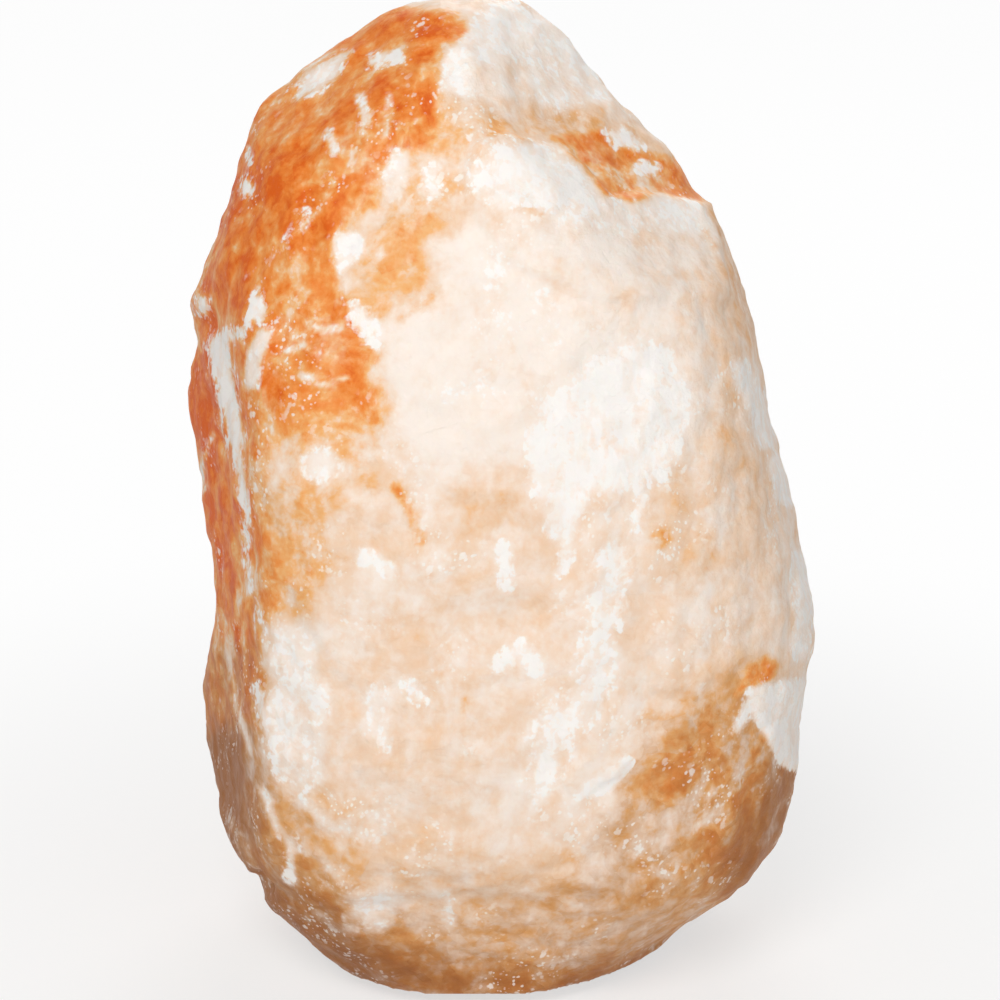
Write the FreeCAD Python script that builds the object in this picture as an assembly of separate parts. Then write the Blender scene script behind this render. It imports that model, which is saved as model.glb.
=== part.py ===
"""Salt crystal lamp: a hewn block of rock salt, bored from below for a small screw bulb.

Millimetres, +Z up. The origin is on the table, under the axis of the bore; -Y is the front.
The crystal stands on four rubber feet. The lamp holder and its bulb pull out downwards.
"""
import FreeCAD
import Part

import math
import os
from collections import namedtuple

Vector = FreeCAD.Vector
UP = Vector(0, 0, 1)

# Crystal: its height above the sawn underside, and its reach from the axis of the bore
crystal_height = 237.5
crystal_half_width = 79.0
crystal_half_depth = 65.0
facets_per_curve = 3

# Outlines of the crystal, in hundredths of its height, half width and half depth. A corner of
# 0.71 is as round as an ellipse, a smaller one is flatter and a larger one is fuller. The corners
# go front left, front right, back right, back left. The first outline is sawn off.
Outline = namedtuple("Outline", "height left right front back corners")
crystal_outlines = (
    Outline(-5.9, 40.0, 37.0, 52.3, 47.7, (0.76, 0.67, 0.74, 0.72)),
    Outline(0.0, 61.0, 59.5, 75.4, 70.8, (0.77, 0.67, 0.74, 0.72)),
    Outline(5.9, 77.8, 80.0, 89.2, 86.2, (0.77, 0.68, 0.74, 0.73)),
    Outline(11.8, 88.0, 92.3, 98.5, 93.8, (0.76, 0.71, 0.73, 0.74)),
    Outline(18.5, 95.4, 96.8, 100.0, 98.5, (0.78, 0.72, 0.74, 0.76)),
    Outline(26.1, 96.8, 96.2, 100.0, 100.0, (0.80, 0.73, 0.74, 0.76)),
    Outline(34.5, 90.4, 100.0, 98.5, 100.0, (0.82, 0.73, 0.75, 0.76)),
    Outline(42.9, 91.6, 95.8, 95.4, 96.9, (0.82, 0.73, 0.76, 0.77)),
    Outline(51.4, 96.4, 88.6, 93.8, 92.3, (0.81, 0.73, 0.75, 0.77)),
    Outline(59.8, 100.0, 82.3, 89.2, 87.7, (0.80, 0.74, 0.74, 0.76)),
    Outline(68.2, 96.2, 77.0, 83.1, 81.5, (0.79, 0.74, 0.74, 0.76)),
    Outline(76.6, 86.9, 67.9, 73.8, 72.3, (0.78, 0.73, 0.74, 0.76)),
    Outline(83.4, 80.2, 54.0, 63.1, 63.1, (0.77, 0.73, 0.74, 0.75)),
    Outline(89.3, 74.5, 34.6, 52.3, 52.3, (0.76, 0.73, 0.74, 0.74)),
    Outline(94.3, 58.5, 24.1, 38.5, 40.0, (0.75, 0.73, 0.74, 0.74)),
    Outline(98.1, 36.5, 17.2, 24.6, 26.2, (0.74, 0.73, 0.74, 0.74)),
    Outline(100.0, 14.5, 10.1, 12.3, 13.8, (0.74, 0.73, 0.74, 0.74)),
)

# Flats left by the chisel: a point each one goes through, in the same hundredths, and the way it
# faces
Flat = namedtuple("Flat", "point facing")
chiselled_flats = (
    Flat((-56.0, 0.0, 94.1), (-0.50, -0.45, 0.74)),
    Flat((48.1, 0.0, 84.6), (0.60, -0.45, 0.66)),
    Flat((-91.1, -15.4, 46.3), (-0.93, -0.36, 0.02)),
    Flat((65.8, 70.8, 37.9), (0.62, 0.77, 0.12)),
    Flat((-60.8, 67.7, 54.7), (-0.55, 0.80, 0.22)),
    Flat((0, -98.5, 17.7), (0.0, -0.93, -0.36)),
)

# Bore and cord groove in the crystal
bore_radius = 26.0
bore_depth = 140.0
bore_end_chamfer = 9.0
groove_width = 11.0
groove_depth = 9.0

# Feet: soft rubber, each held by a screw in a plug in the salt
foot_height = 4.0
foot_radius = 5.2
foot_to_bore = 7.4
foot_angles = {"front_left": 225.0, "front_right": 315.0, "rear_right": 45.0, "rear_left": 135.0}
foot_recess_radius = 3.6
foot_recess_depth = 2.4
washer_clearance = 0.2
washer_thickness = 0.6
screw_radius = 1.7
screw_clearance = 0.2
screw_length = 19.0
screw_head_across = 5.6
screw_head_height = 1.3
plug_radius = 3.0
plug_length = 18.0
plug_hole_clearance = 0.05
plug_hole_spare = 0.5

# Cord grip: the cord's inlet, screwed on the lower end of the nipple
grip_bottom = 20.0
grip_height = 16.0
grip_across = 15.0
cord_radius = 3.1
cord_clearance = 0.1
grip_screw_height = 4.0
grip_screw_radius = 2.0
grip_screw_length = 6.0
grip_screw_to_cord = 0.4

# Threaded nipple and its nut
nipple_radius = 5.0
nipple_length = 20.0
nipple_grip_depth = 8.0
nut_across = 14.0
nut_height = 3.0

# Spring bracket: a strip of spring steel whose elbows press against the wall of the bore
strap_width = 16.0
strap_thickness = 0.8
strap_bend_radius = 1.6
hub_half_length = 15.5
elbow_height = 15.0
elbow_gap = 0.12
arm_return_in = 4.6
arm_return_up = 9.0

# Bulb: a 15 watt pear with an E14 cap
bulb_contact_gap = 0.08
tip_radius = 2.4
tip_height = 1.0
insulator_height = 2.4
bulb_cap_seat = 1.0
bulb_cap_radius = 6.95
bulb_cap_wall = 0.3
bulb_cap_length = 17.0
bulb_cap_rim = 1.75
glass_radius = 14.0
glass_wall = 0.6
glass_neck_depth = 5.0
glass_neck_rise = 1.5
glass_above_cap = 40.0
glass_sides = 24
glass_bands = 7
glass_top_angle = 78.0
seal_clearance = 0.08
stem_flare_height = 0.8
stem_radius = 1.9
stem_height = 14.0
lead_wire_radius = 0.25
lead_spread = 1.1
lead_above_stem = 1.5
filament_half_span = 7.0
filament_above_cap = 27.0
filament_rise = 2.5
filament_rise_half_span = 3.0
filament_wire_radius = 0.18

# Insert and contacts: the shell takes the bulb's cap
thread_play = 0.1
shell_wall = 0.4
shell_length = 17.5
insert_edge = 2.15
insert_height = 6.5
contact_width = 3.2
contact_thickness = 0.4
contact_rise = 3.3
contact_reach = 1.8
contact_to_shell = 0.85
contact_bend = 2.2
side_contact_rise = 5.6
side_contact_reach = 5.2
slot_clearance = 0.05
terminal_to_shell = 2.65
terminal_screw_radius = 1.1
terminal_head_radius = 1.6
terminal_head_height = 1.3
terminal_screw_length = 5.0

# Lamp holder: cap and skirt that screw together round the insert
fit_clearance = 0.05
neck_wall = 1.85
neck_height = 6.0
cap_wall = 1.95
cap_edge = 2.4
cap_height = 18.0
cap_base_thickness = 2.2
skirt_height = 27.0
skirt_wall = 1.7
ledge_thickness = 1.6
ledge_clearance = 0.5


def at(height):
    """The point on the axis at a height."""
    return Vector(0, 0, height)


def turned(profile):
    """Solid turned about the axis from a closed profile of (radius, height) corners."""
    points = [Vector(r, 0, z) for r, z in profile]
    face = Part.Face(Part.makePolygon(points + points[:1]))
    return face.revolve(Vector(0, 0, 0), UP, 360)


def tube(outer, inner, bottom, top):
    """Round tube between two heights."""
    return turned([(inner, bottom), (outer, bottom), (outer, top), (inner, top)])


def block(size_x, size_y, bottom, top, centre_x=0.0, centre_y=0.0):
    """Upright box centred on a point of the plan."""
    corner = Vector(centre_x - size_x / 2, centre_y - size_y / 2, bottom)
    return Part.makeBox(size_x, size_y, top - bottom, corner)


def hexagon(across, bottom, top):
    """Six-sided bar between two heights, from its width across the flats."""
    corner_radius = across / math.sqrt(3)
    turns = [math.radians(60 * k + 30) for k in range(6)]
    corners = [Vector(corner_radius * math.cos(a), corner_radius * math.sin(a), bottom) for a in turns]
    return flat_face(corners).extrude(at(top - bottom))


# Radii that follow from the sizes above, from the bulb outwards
shell_inner = bulb_cap_radius + thread_play
shell_outer = shell_inner + shell_wall
insert_radius = shell_outer + insert_edge
neck_inner = insert_radius + fit_clearance
neck_radius = neck_inner + neck_wall
cap_inner = neck_radius + fit_clearance
cap_radius = cap_inner + cap_wall
terminal_offset = shell_inner - terminal_to_shell
bulb_cap_inner = bulb_cap_radius - bulb_cap_wall
insulator_radius = bulb_cap_radius - bulb_cap_rim
foot_circle_radius = bore_radius + foot_to_bore

# Heights that follow from the sizes above
underside = foot_height
bore_top = underside + bore_depth
grip_top = grip_bottom + grip_height
nipple_bottom = grip_top - nipple_grip_depth
nipple_top = nipple_bottom + nipple_length
nut_top = grip_top + nut_height
hub_top = nut_top + strap_thickness
cap_top = hub_top + cap_height
skirt_bottom = cap_top - neck_height
skirt_top = cap_top + skirt_height
insert_bottom = skirt_bottom
insert_top = insert_bottom + insert_height
shell_top = insert_top + shell_length
contact_top = insert_top + contact_rise
tip_bottom = contact_top + bulb_contact_gap
insulator_bottom = tip_bottom + tip_height
insulator_top = insulator_bottom + insulator_height
bulb_cap_bottom = insulator_top - bulb_cap_seat
bulb_cap_top = bulb_cap_bottom + bulb_cap_length
glass_top = bulb_cap_top + glass_above_cap
glass_bottom = bulb_cap_top - glass_neck_depth
stem_top = bulb_cap_top + stem_height
filament_level = bulb_cap_top + filament_above_cap


def flat_face(corners):
    """Flat face inside a closed line of corners."""
    corners = list(corners)
    return Part.Face(Part.makePolygon(corners + corners[:1]))


def faceted(rings):
    """Solid of flat facets between rings of points, with a flat face at each end."""
    faces = [flat_face(rings[0]), flat_face(rings[-1])]
    for lower, upper in zip(rings, rings[1:]):
        for k in range(len(lower)):
            after = (k + 1) % len(lower)
            faces.append(flat_face((lower[k], lower[after], upper[k])))
            faces.append(flat_face((lower[after], upper[after], upper[k])))
    return Part.Solid(Part.Shell(faces))


def crystal_outline(outline):
    """Corners round the block at one height, taken along a closed smooth curve."""
    west, east = -crystal_half_width * outline.left / 100, crystal_half_width * outline.right / 100
    south, north = -crystal_half_depth * outline.front / 100, crystal_half_depth * outline.back / 100
    front_left, front_right, back_right, back_left = outline.corners
    places = (
        (east, 0),
        (east * back_right, north * back_right),
        (0, north),
        (west * back_left, north * back_left),
        (west, 0),
        (west * front_left, south * front_left),
        (0, south),
        (east * front_right, south * front_right),
    )
    height = underside + crystal_height * outline.height / 100
    curve = Part.BSplineCurve()
    curve.interpolate([Vector(x, y, height) for x, y in places], PeriodicFlag=True)
    knots = curve.getKnots()
    return [
        curve.value(start + (end - start) * k / facets_per_curve)
        for start, end in zip(knots, knots[1:])
        for k in range(facets_per_curve)
    ]


def beyond_flat(flat):
    """All that lies outside one chiselled flat."""
    x, y, z = flat.point
    middle = Vector(crystal_half_width * x, crystal_half_depth * y, crystal_height * z) / 100
    size = 2 * crystal_height
    box = Part.makeBox(size, size, size, Vector(-size / 2, -size / 2, 0))
    turn = FreeCAD.Rotation(UP, Vector(*flat.facing))
    box.Placement = FreeCAD.Placement(middle + at(underside), turn).multiply(box.Placement)
    return box


def hewn_block():
    """The whole block: faceted between its outlines, chiselled flat in places and sawn off level."""
    rock = faceted([crystal_outline(outline) for outline in crystal_outlines])
    for flat in chiselled_flats:
        rock = rock.cut(beyond_flat(flat))
    size = 4 * crystal_half_width
    return rock.cut(block(size, size, underside - crystal_height, underside))


def bore():
    """Room for the lamp holder and the bulb, open below."""
    return turned([
        (0, underside),
        (bore_radius, underside),
        (bore_radius, bore_top - bore_end_chamfer),
        (bore_radius - bore_end_chamfer, bore_top),
        (0, bore_top),
    ])


def foot_places():
    """Name and centre of each foot on the plan."""
    for name, angle in foot_angles.items():
        turn = math.radians(angle)
        yield name, Vector(foot_circle_radius * math.cos(turn), foot_circle_radius * math.sin(turn), 0)


def at_each_foot(piece):
    """A piece made at the axis, repeated at the four feet."""
    return Part.makeCompound([piece.translated(centre) for _, centre in foot_places()])


def salt_crystal():
    """The block with its bore, its cord groove and the holes for the plugs of the feet."""
    crystal = hewn_block().cut(bore())
    groove_reach = 2 * crystal_half_depth
    groove = block(groove_width, groove_reach, underside, underside + groove_depth, 0, groove_reach / 2)
    hole = Part.makeCylinder(
        plug_radius + plug_hole_clearance, plug_length + plug_hole_spare, at(underside)
    )
    return crystal.cut(groove).cut(at_each_foot(hole))


def foot():
    """Round rubber foot at the axis, with a recess for the head of its screw."""
    hole_radius = screw_radius + screw_clearance
    return turned([
        (foot_recess_radius, 0),
        (foot_radius, 0),
        (foot_radius, foot_height),
        (hole_radius, foot_height),
        (hole_radius, foot_recess_depth),
        (foot_recess_radius, foot_recess_depth),
    ])


def foot_washers():
    """Washers at the tops of the recesses."""
    washer = tube(
        foot_recess_radius - washer_clearance,
        screw_radius + screw_clearance,
        foot_recess_depth - washer_thickness,
        foot_recess_depth,
    )
    return at_each_foot(washer)


def foot_screws():
    """A screw with a hexagonal head up through each foot."""
    head_top = foot_recess_depth - washer_thickness
    head = hexagon(screw_head_across, head_top - screw_head_height, head_top)
    return at_each_foot(head.fuse(Part.makeCylinder(screw_radius, screw_length, at(head_top))))


def screw_plugs():
    """A six-sided plastic plug above each foot, its corners against the wall of its hole."""
    top = underside + plug_length
    plug = hexagon(plug_radius * math.sqrt(3), underside, top)
    return at_each_foot(plug.cut(Part.makeCylinder(screw_radius, plug_length, at(underside))))


def cord_grip():
    """Hexagonal gland, bored for the cord and tapped for the nipple and for its side screw."""
    body = hexagon(grip_across, grip_bottom, grip_top)
    body = body.cut(Part.makeCylinder(cord_radius + cord_clearance, grip_height, at(grip_bottom)))
    body = body.cut(Part.makeCylinder(nipple_radius, nipple_grip_depth, at(nipple_bottom)))
    start = at(grip_bottom + grip_screw_height)
    return body.cut(Part.makeCylinder(grip_screw_radius, grip_across, start, Vector(1, 0, 0)))


def cord_grip_screw():
    """Nylon screw that presses on the cord; its slot is left plain."""
    inner_end = cord_radius + cord_clearance + grip_screw_to_cord
    start = Vector(inner_end, 0, grip_bottom + grip_screw_height)
    return Part.makeCylinder(grip_screw_radius, grip_screw_length, start, Vector(1, 0, 0))


def threaded_nipple():
    """Tube that joins gland, nut, bracket and holder and leads the cord through."""
    return tube(nipple_radius, cord_radius + cord_clearance, nipple_bottom, nipple_top)


def hex_nut():
    """Nut that clamps the bracket to the holder."""
    nut = hexagon(nut_across, grip_top, nut_top)
    return nut.cut(Part.makeCylinder(nipple_radius, nut_height, at(grip_top)))


def spring_bracket():
    """Strip with a flat hub and two arms bent out to the bore and back in again."""
    elbow_x = math.sqrt((bore_radius - elbow_gap) ** 2 - (strap_width / 2) ** 2)
    path = [
        at(nut_top),
        Vector(hub_half_length, 0, nut_top),
        Vector(elbow_x, 0, nut_top + elbow_height),
        Vector(elbow_x - arm_return_in, 0, nut_top + elbow_height + arm_return_up),
    ]
    arm = bent_strip(path)
    other = arm.mirror(Vector(0, 0, 0), Vector(1, 0, 0))
    strip = arm.fuse(other).removeSplitter()
    return strip.cut(Part.makeCylinder(nipple_radius, strap_thickness, at(nut_top)))


def bent_strip(path):
    """Strip of one thickness that follows a bent line in the plane of the arms, on its left side."""
    inner = []
    for index, point in enumerate(path):
        before = path[index] - path[index - 1] if index else path[1] - path[0]
        after = path[index + 1] - path[index] if index + 1 < len(path) else before
        before.normalize()
        after.normalize()
        side = Vector(-before.z, 0, before.x) + Vector(-after.z, 0, after.x)
        side.normalize()
        lean = side.dot(Vector(-before.z, 0, before.x))
        inner.append(point + side * (strap_thickness / lean))
    solid = flat_face(path + inner[::-1]).extrude(Vector(0, strap_width, 0))
    solid.translate(Vector(0, -strap_width / 2, 0))
    across = [edge for edge in solid.Edges if abs(edge.tangentAt(edge.FirstParameter).y) > 0.99]
    convex = [edge for edge in across if near_bend(edge, path[1:-1])]
    concave = [edge for edge in across if near_bend(edge, inner[1:-1])]
    return solid.makeFillet(strap_bend_radius, convex).makeFillet(strap_bend_radius / 2, concave)


def near_bend(edge, bends):
    """Whether an edge across the strip lies at one of its bends."""
    middle = edge.CenterOfMass
    return any(math.hypot(middle.x - bend.x, middle.z - bend.z) < 0.01 for bend in bends)


def holder_cap():
    """Cup-shaped lower half of the holder."""
    floor = hub_top + cap_base_thickness
    return turned([
        (nipple_radius, hub_top),
        (cap_radius - cap_edge, hub_top),
        (cap_radius, hub_top + cap_edge),
        (cap_radius, cap_top),
        (cap_inner, cap_top),
        (cap_inner, floor),
        (nipple_radius, floor),
    ])


def holder_skirt():
    """Upper half of the holder: neck inside the cap, ledge over the insert, and open wall."""
    ledge_top = insert_top + ledge_thickness
    ledge_inner = shell_outer + contact_thickness + ledge_clearance
    return turned([
        (neck_inner, skirt_bottom),
        (neck_radius, skirt_bottom),
        (neck_radius, cap_top),
        (cap_radius, cap_top),
        (cap_radius, skirt_top),
        (cap_radius - skirt_wall, skirt_top),
        (cap_radius - skirt_wall, ledge_top),
        (ledge_inner, ledge_top),
        (ledge_inner, insert_top),
        (neck_inner, insert_top),
    ])


def holder_insert():
    """Thick disc that carries the screw shell, holed and slotted for the contacts."""
    body = Part.makeCylinder(insert_radius, insert_height, at(insert_bottom))
    for side in (-1, 1):
        start = Vector(side * terminal_offset, 0, insert_bottom)
        body = body.cut(Part.makeCylinder(terminal_screw_radius, insert_height, start))
    slot_depth = contact_thickness + slot_clearance
    slot_width = contact_width + 2 * slot_clearance
    centre_x = shell_outer + slot_depth / 2
    return body.cut(block(slot_depth, slot_width, insert_bottom, insert_top, centre_x))


def screw_shell():
    """Thin shell that takes the thread of the bulb; its own thread is left plain."""
    return tube(shell_outer, shell_inner, insert_top, shell_top)


def flat_strip(profile):
    """Strip of contact width from its outline in the plane of the arms."""
    points = [Vector(x, -contact_width / 2, z) for x, z in profile]
    return flat_face(points).extrude(Vector(0, contact_width, 0))


def centre_contact():
    """Tongue that rises from the insert to the tip of the bulb."""
    top = contact_top
    thick = contact_thickness
    start = -(shell_inner - contact_to_shell)
    strip = flat_strip([
        (start, insert_top),
        (-contact_bend, insert_top),
        (-contact_bend + 4 * thick, top - thick),
        (contact_reach - thick, top - thick),
        (contact_reach + thick, top - 2.4 * thick),
        (contact_reach + 2 * thick, top - 1.8 * thick),
        (contact_reach - thick / 2, top),
        (-contact_bend + 3.3 * thick, top),
        (-contact_bend - 0.7 * thick, insert_top + thick),
        (start, insert_top + thick),
    ])
    hole = Part.makeCylinder(terminal_screw_radius, thick, Vector(-terminal_offset, 0, insert_top))
    return strip.cut(hole)


def side_contact():
    """Angle that runs up beside the screw shell."""
    outer = shell_outer + contact_thickness
    inner_end = outer - side_contact_reach
    below = insert_bottom - contact_thickness
    top = insert_top + side_contact_rise
    strip = flat_strip([
        (inner_end, below),
        (outer, below),
        (outer, top),
        (shell_outer, top),
        (shell_outer, insert_bottom),
        (inner_end, insert_bottom),
    ])
    hole = Part.makeCylinder(terminal_screw_radius, contact_thickness, Vector(terminal_offset, 0, below))
    return strip.cut(hole)


def terminal_screw(side, seat, length):
    """Screw whose head hangs below its seat; its slot is left plain."""
    centre = Vector(side * terminal_offset, 0, seat)
    head = Part.makeCylinder(terminal_head_radius, terminal_head_height, centre - at(terminal_head_height))
    return head.fuse(Part.makeCylinder(terminal_screw_radius, length, centre))


def terminal_screws():
    """One screw for the centre contact, right through the insert, and one for the side contact."""
    return Part.makeCompound([
        terminal_screw(-1, insert_bottom, insert_height + contact_thickness),
        terminal_screw(1, insert_bottom - contact_thickness, terminal_screw_length),
    ])


def bulb_contact_tip():
    """Solder contact under the bulb."""
    return Part.makeCylinder(tip_radius, tip_height, at(tip_bottom))


def bulb_cap_insulator():
    """Dark glass between the tip and the cap."""
    return Part.makeCylinder(insulator_radius, insulator_height, at(insulator_bottom))


def bulb_cap():
    """E14 cap: a thin shell with a rim round the insulator; its thread is left plain."""
    return turned([
        (insulator_radius, bulb_cap_bottom),
        (bulb_cap_radius, bulb_cap_bottom),
        (bulb_cap_radius, bulb_cap_top),
        (bulb_cap_inner, bulb_cap_top),
        (bulb_cap_inner, insulator_top),
        (insulator_radius, insulator_top),
    ])


def glass_rings(neck, ball):
    """Rings of points up the neck of the glass and over its ball."""
    ball_centre = glass_top - glass_radius
    neck_end = bulb_cap_top + glass_neck_rise
    reach = math.hypot(neck, ball_centre - neck_end)
    tangent = math.atan2(neck, ball_centre - neck_end) - math.asin(ball / reach)
    levels = [(neck, glass_bottom), (neck, neck_end)]
    last = math.radians(glass_top_angle)
    for k in range(glass_bands + 1):
        angle = tangent + (last - tangent) * k / glass_bands
        levels.append((ball * math.cos(angle), ball_centre + ball * math.sin(angle)))
    turns = [2 * math.pi * k / glass_sides for k in range(glass_sides)]
    return [[Vector(r * math.cos(a), r * math.sin(a), z) for a in turns] for r, z in levels]


def bulb_glass():
    """Blown glass: a neck inside the cap that widens to a ball."""
    outside = faceted(glass_rings(bulb_cap_inner, glass_radius))
    inside = faceted(glass_rings(bulb_cap_inner - glass_wall, glass_radius - glass_wall))
    return outside.cut(inside)


def bulb_stem():
    """Flare in the neck of the glass and the rod that holds the wires."""
    flare_radius = (bulb_cap_inner - glass_wall) * math.cos(math.pi / glass_sides) - seal_clearance
    flare = Part.makeCylinder(flare_radius, stem_flare_height, at(glass_bottom))
    return flare.fuse(Part.makeCylinder(stem_radius, stem_top - glass_bottom, at(glass_bottom)))


def bent_wire(path, radius):
    """Round wire along straight runs, mitred where they meet."""
    ring = Part.Circle(path[0], path[1] - path[0], radius).toShape()
    return Part.makePolygon(path).makePipeShell([Part.Wire([ring])], True, False, 1)


def lead_wires():
    """Two wires from the top of the stem to the filament."""
    wires = []
    for side in (-1, 1):
        wires.append(bent_wire([
            Vector(side * lead_spread, 0, stem_top),
            Vector(side * lead_spread, 0, stem_top + lead_above_stem),
            Vector(side * filament_half_span, 0, filament_level),
        ], lead_wire_radius))
    return Part.makeCompound(wires)


def bulb_filament():
    """Filament raised in the middle, between the tops of the wires; its coiling is left plain."""
    rise = filament_level + filament_rise
    filament = bent_wire([
        Vector(-filament_half_span, 0, filament_level),
        Vector(-filament_rise_half_span, 0, rise),
        Vector(filament_rise_half_span, 0, rise),
        Vector(filament_half_span, 0, filament_level),
    ], filament_wire_radius)
    return filament.cut(lead_wires())


makers = {
    "salt_crystal": salt_crystal,
    "foot_washers": foot_washers,
    "foot_screws": foot_screws,
    "screw_plugs": screw_plugs,
    "cord_grip": cord_grip,
    "cord_grip_screw": cord_grip_screw,
    "threaded_nipple": threaded_nipple,
    "hex_nut": hex_nut,
    "spring_bracket": spring_bracket,
    "holder_cap": holder_cap,
    "holder_skirt": holder_skirt,
    "holder_insert": holder_insert,
    "screw_shell": screw_shell,
    "centre_contact": centre_contact,
    "side_contact": side_contact,
    "terminal_screws": terminal_screws,
    "bulb_contact_tip": bulb_contact_tip,
    "bulb_cap_insulator": bulb_cap_insulator,
    "bulb_cap": bulb_cap,
    "bulb_glass": bulb_glass,
    "bulb_stem": bulb_stem,
    "bulb_lead_wires": lead_wires,
    "bulb_filament": bulb_filament,
}

os.makedirs("parts", exist_ok=True)
for name, maker in makers.items():
    maker().exportStep("parts/" + name + ".step")
for name, centre in foot_places():
    foot().translated(centre).exportStep("parts/foot_" + name + ".step")
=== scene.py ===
"""Salt crystal lamp: the look of the hewn, iron-stained block and of the fittings inside it.

Metres, +Z up, with the front of the lamp towards -Y, as in the solids that it dresses.
"""
import logging
import math
from dataclasses import dataclass, replace
from enum import Enum
from typing import Sequence

import bmesh
import bpy
import numpy as np
from mathutils import Matrix, Vector, noise


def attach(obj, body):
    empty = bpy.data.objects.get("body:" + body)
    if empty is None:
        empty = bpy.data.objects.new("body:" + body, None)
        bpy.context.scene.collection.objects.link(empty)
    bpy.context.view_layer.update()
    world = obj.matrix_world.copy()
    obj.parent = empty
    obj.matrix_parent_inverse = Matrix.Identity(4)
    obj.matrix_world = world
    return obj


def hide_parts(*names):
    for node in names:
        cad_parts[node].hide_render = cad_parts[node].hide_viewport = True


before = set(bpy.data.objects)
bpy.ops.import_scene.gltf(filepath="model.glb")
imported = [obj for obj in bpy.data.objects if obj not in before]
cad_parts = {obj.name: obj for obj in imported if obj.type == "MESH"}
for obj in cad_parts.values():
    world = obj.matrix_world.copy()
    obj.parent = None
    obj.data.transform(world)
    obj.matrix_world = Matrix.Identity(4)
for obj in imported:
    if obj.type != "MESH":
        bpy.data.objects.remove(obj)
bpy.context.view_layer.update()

log = logging.getLogger("salt_lamp")
MM = 0.001
Socket = bpy.types.NodeSocket
Shade = tuple[int, int, int]
Place = tuple[float, float, float]
Filling = dict[str | int, object]
MIX_FIRST, MIX_SECOND, MIX_RESULT = 6, 7, 2  # sockets of a Mix node that mixes colours


def linear(red: float, green: float, blue: float) -> tuple[float, float, float, float]:
    """Turns a colour written from 0 to 255, as seen, into the linear one that a shader takes.

    Args:
        red: Red, 0 to 255.
        green: Green, 0 to 255.
        blue: Blue, 0 to 255.

    Returns:
        Linear red, green and blue, and an opaque alpha.
    """
    parts = [c / 255 for c in (red, green, blue)]
    r, g, b = (c / 12.92 if c <= 0.04045 else ((c + 0.055) / 1.055) ** 2.4 for c in parts)
    return r, g, b, 1.0


def ease(values: np.ndarray, low: float, high: float) -> np.ndarray:
    """Smooth step from 0 up to the low value to 1 from the high one on."""
    part = np.clip((values - low) / (high - low), 0.0, 1.0)
    return part * part * (3.0 - 2.0 * part)


def add_object(name: str, data: bpy.types.ID) -> bpy.types.Object:
    """Adds an object to the scene, at the origin.

    Args:
        name: Name of the object.
        data: Its mesh, curve, lamp or camera.

    Returns:
        The object.
    """
    thing = bpy.data.objects.new(name, data)
    bpy.context.collection.objects.link(thing)
    return thing


def fill(tree: bpy.types.NodeTree, node: bpy.types.Node, inputs: Filling) -> None:
    """Fills sockets of a node.

    Args:
        tree: Nodes that it is one of.
        node: The node.
        inputs: Value or output socket for each one, by its name or number.
    """
    for name, value in inputs.items():
        if isinstance(value, Socket):
            tree.links.new(value, node.inputs[name])
        else:
            node.inputs[name].default_value = value


def add_node(
    tree: bpy.types.NodeTree, kind: str, inputs: Filling | None = None, **settings: object
) -> bpy.types.Node:
    """Adds a shader node.

    Args:
        tree: Nodes to add it to.
        kind: Its type, after the words that all have.
        inputs: Value or output socket for some of its sockets.
        settings: Its settings.

    Returns:
        The node.
    """
    node = tree.nodes.new("ShaderNode" + kind)
    for name, value in settings.items():
        setattr(node, name, value)
    fill(tree, node, inputs or {})
    return node


def seen_ray(tree: bpy.types.NodeTree) -> Socket:
    """Adds a switch for the rays that show the surroundings: to the camera, in a gloss or through glass.

    Args:
        tree: Nodes to add it to.

    Returns:
        1 for such a ray and 0 for the others.
    """
    light_path = add_node(tree, "LightPath")
    switch = light_path.outputs["Is Camera Ray"]
    for kind in ("Is Glossy Ray", "Is Transmission Ray"):
        inputs = {0: switch, 1: light_path.outputs[kind]}
        switch = add_node(tree, "Math", inputs, operation="MAXIMUM").outputs[0]
    return switch


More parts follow.
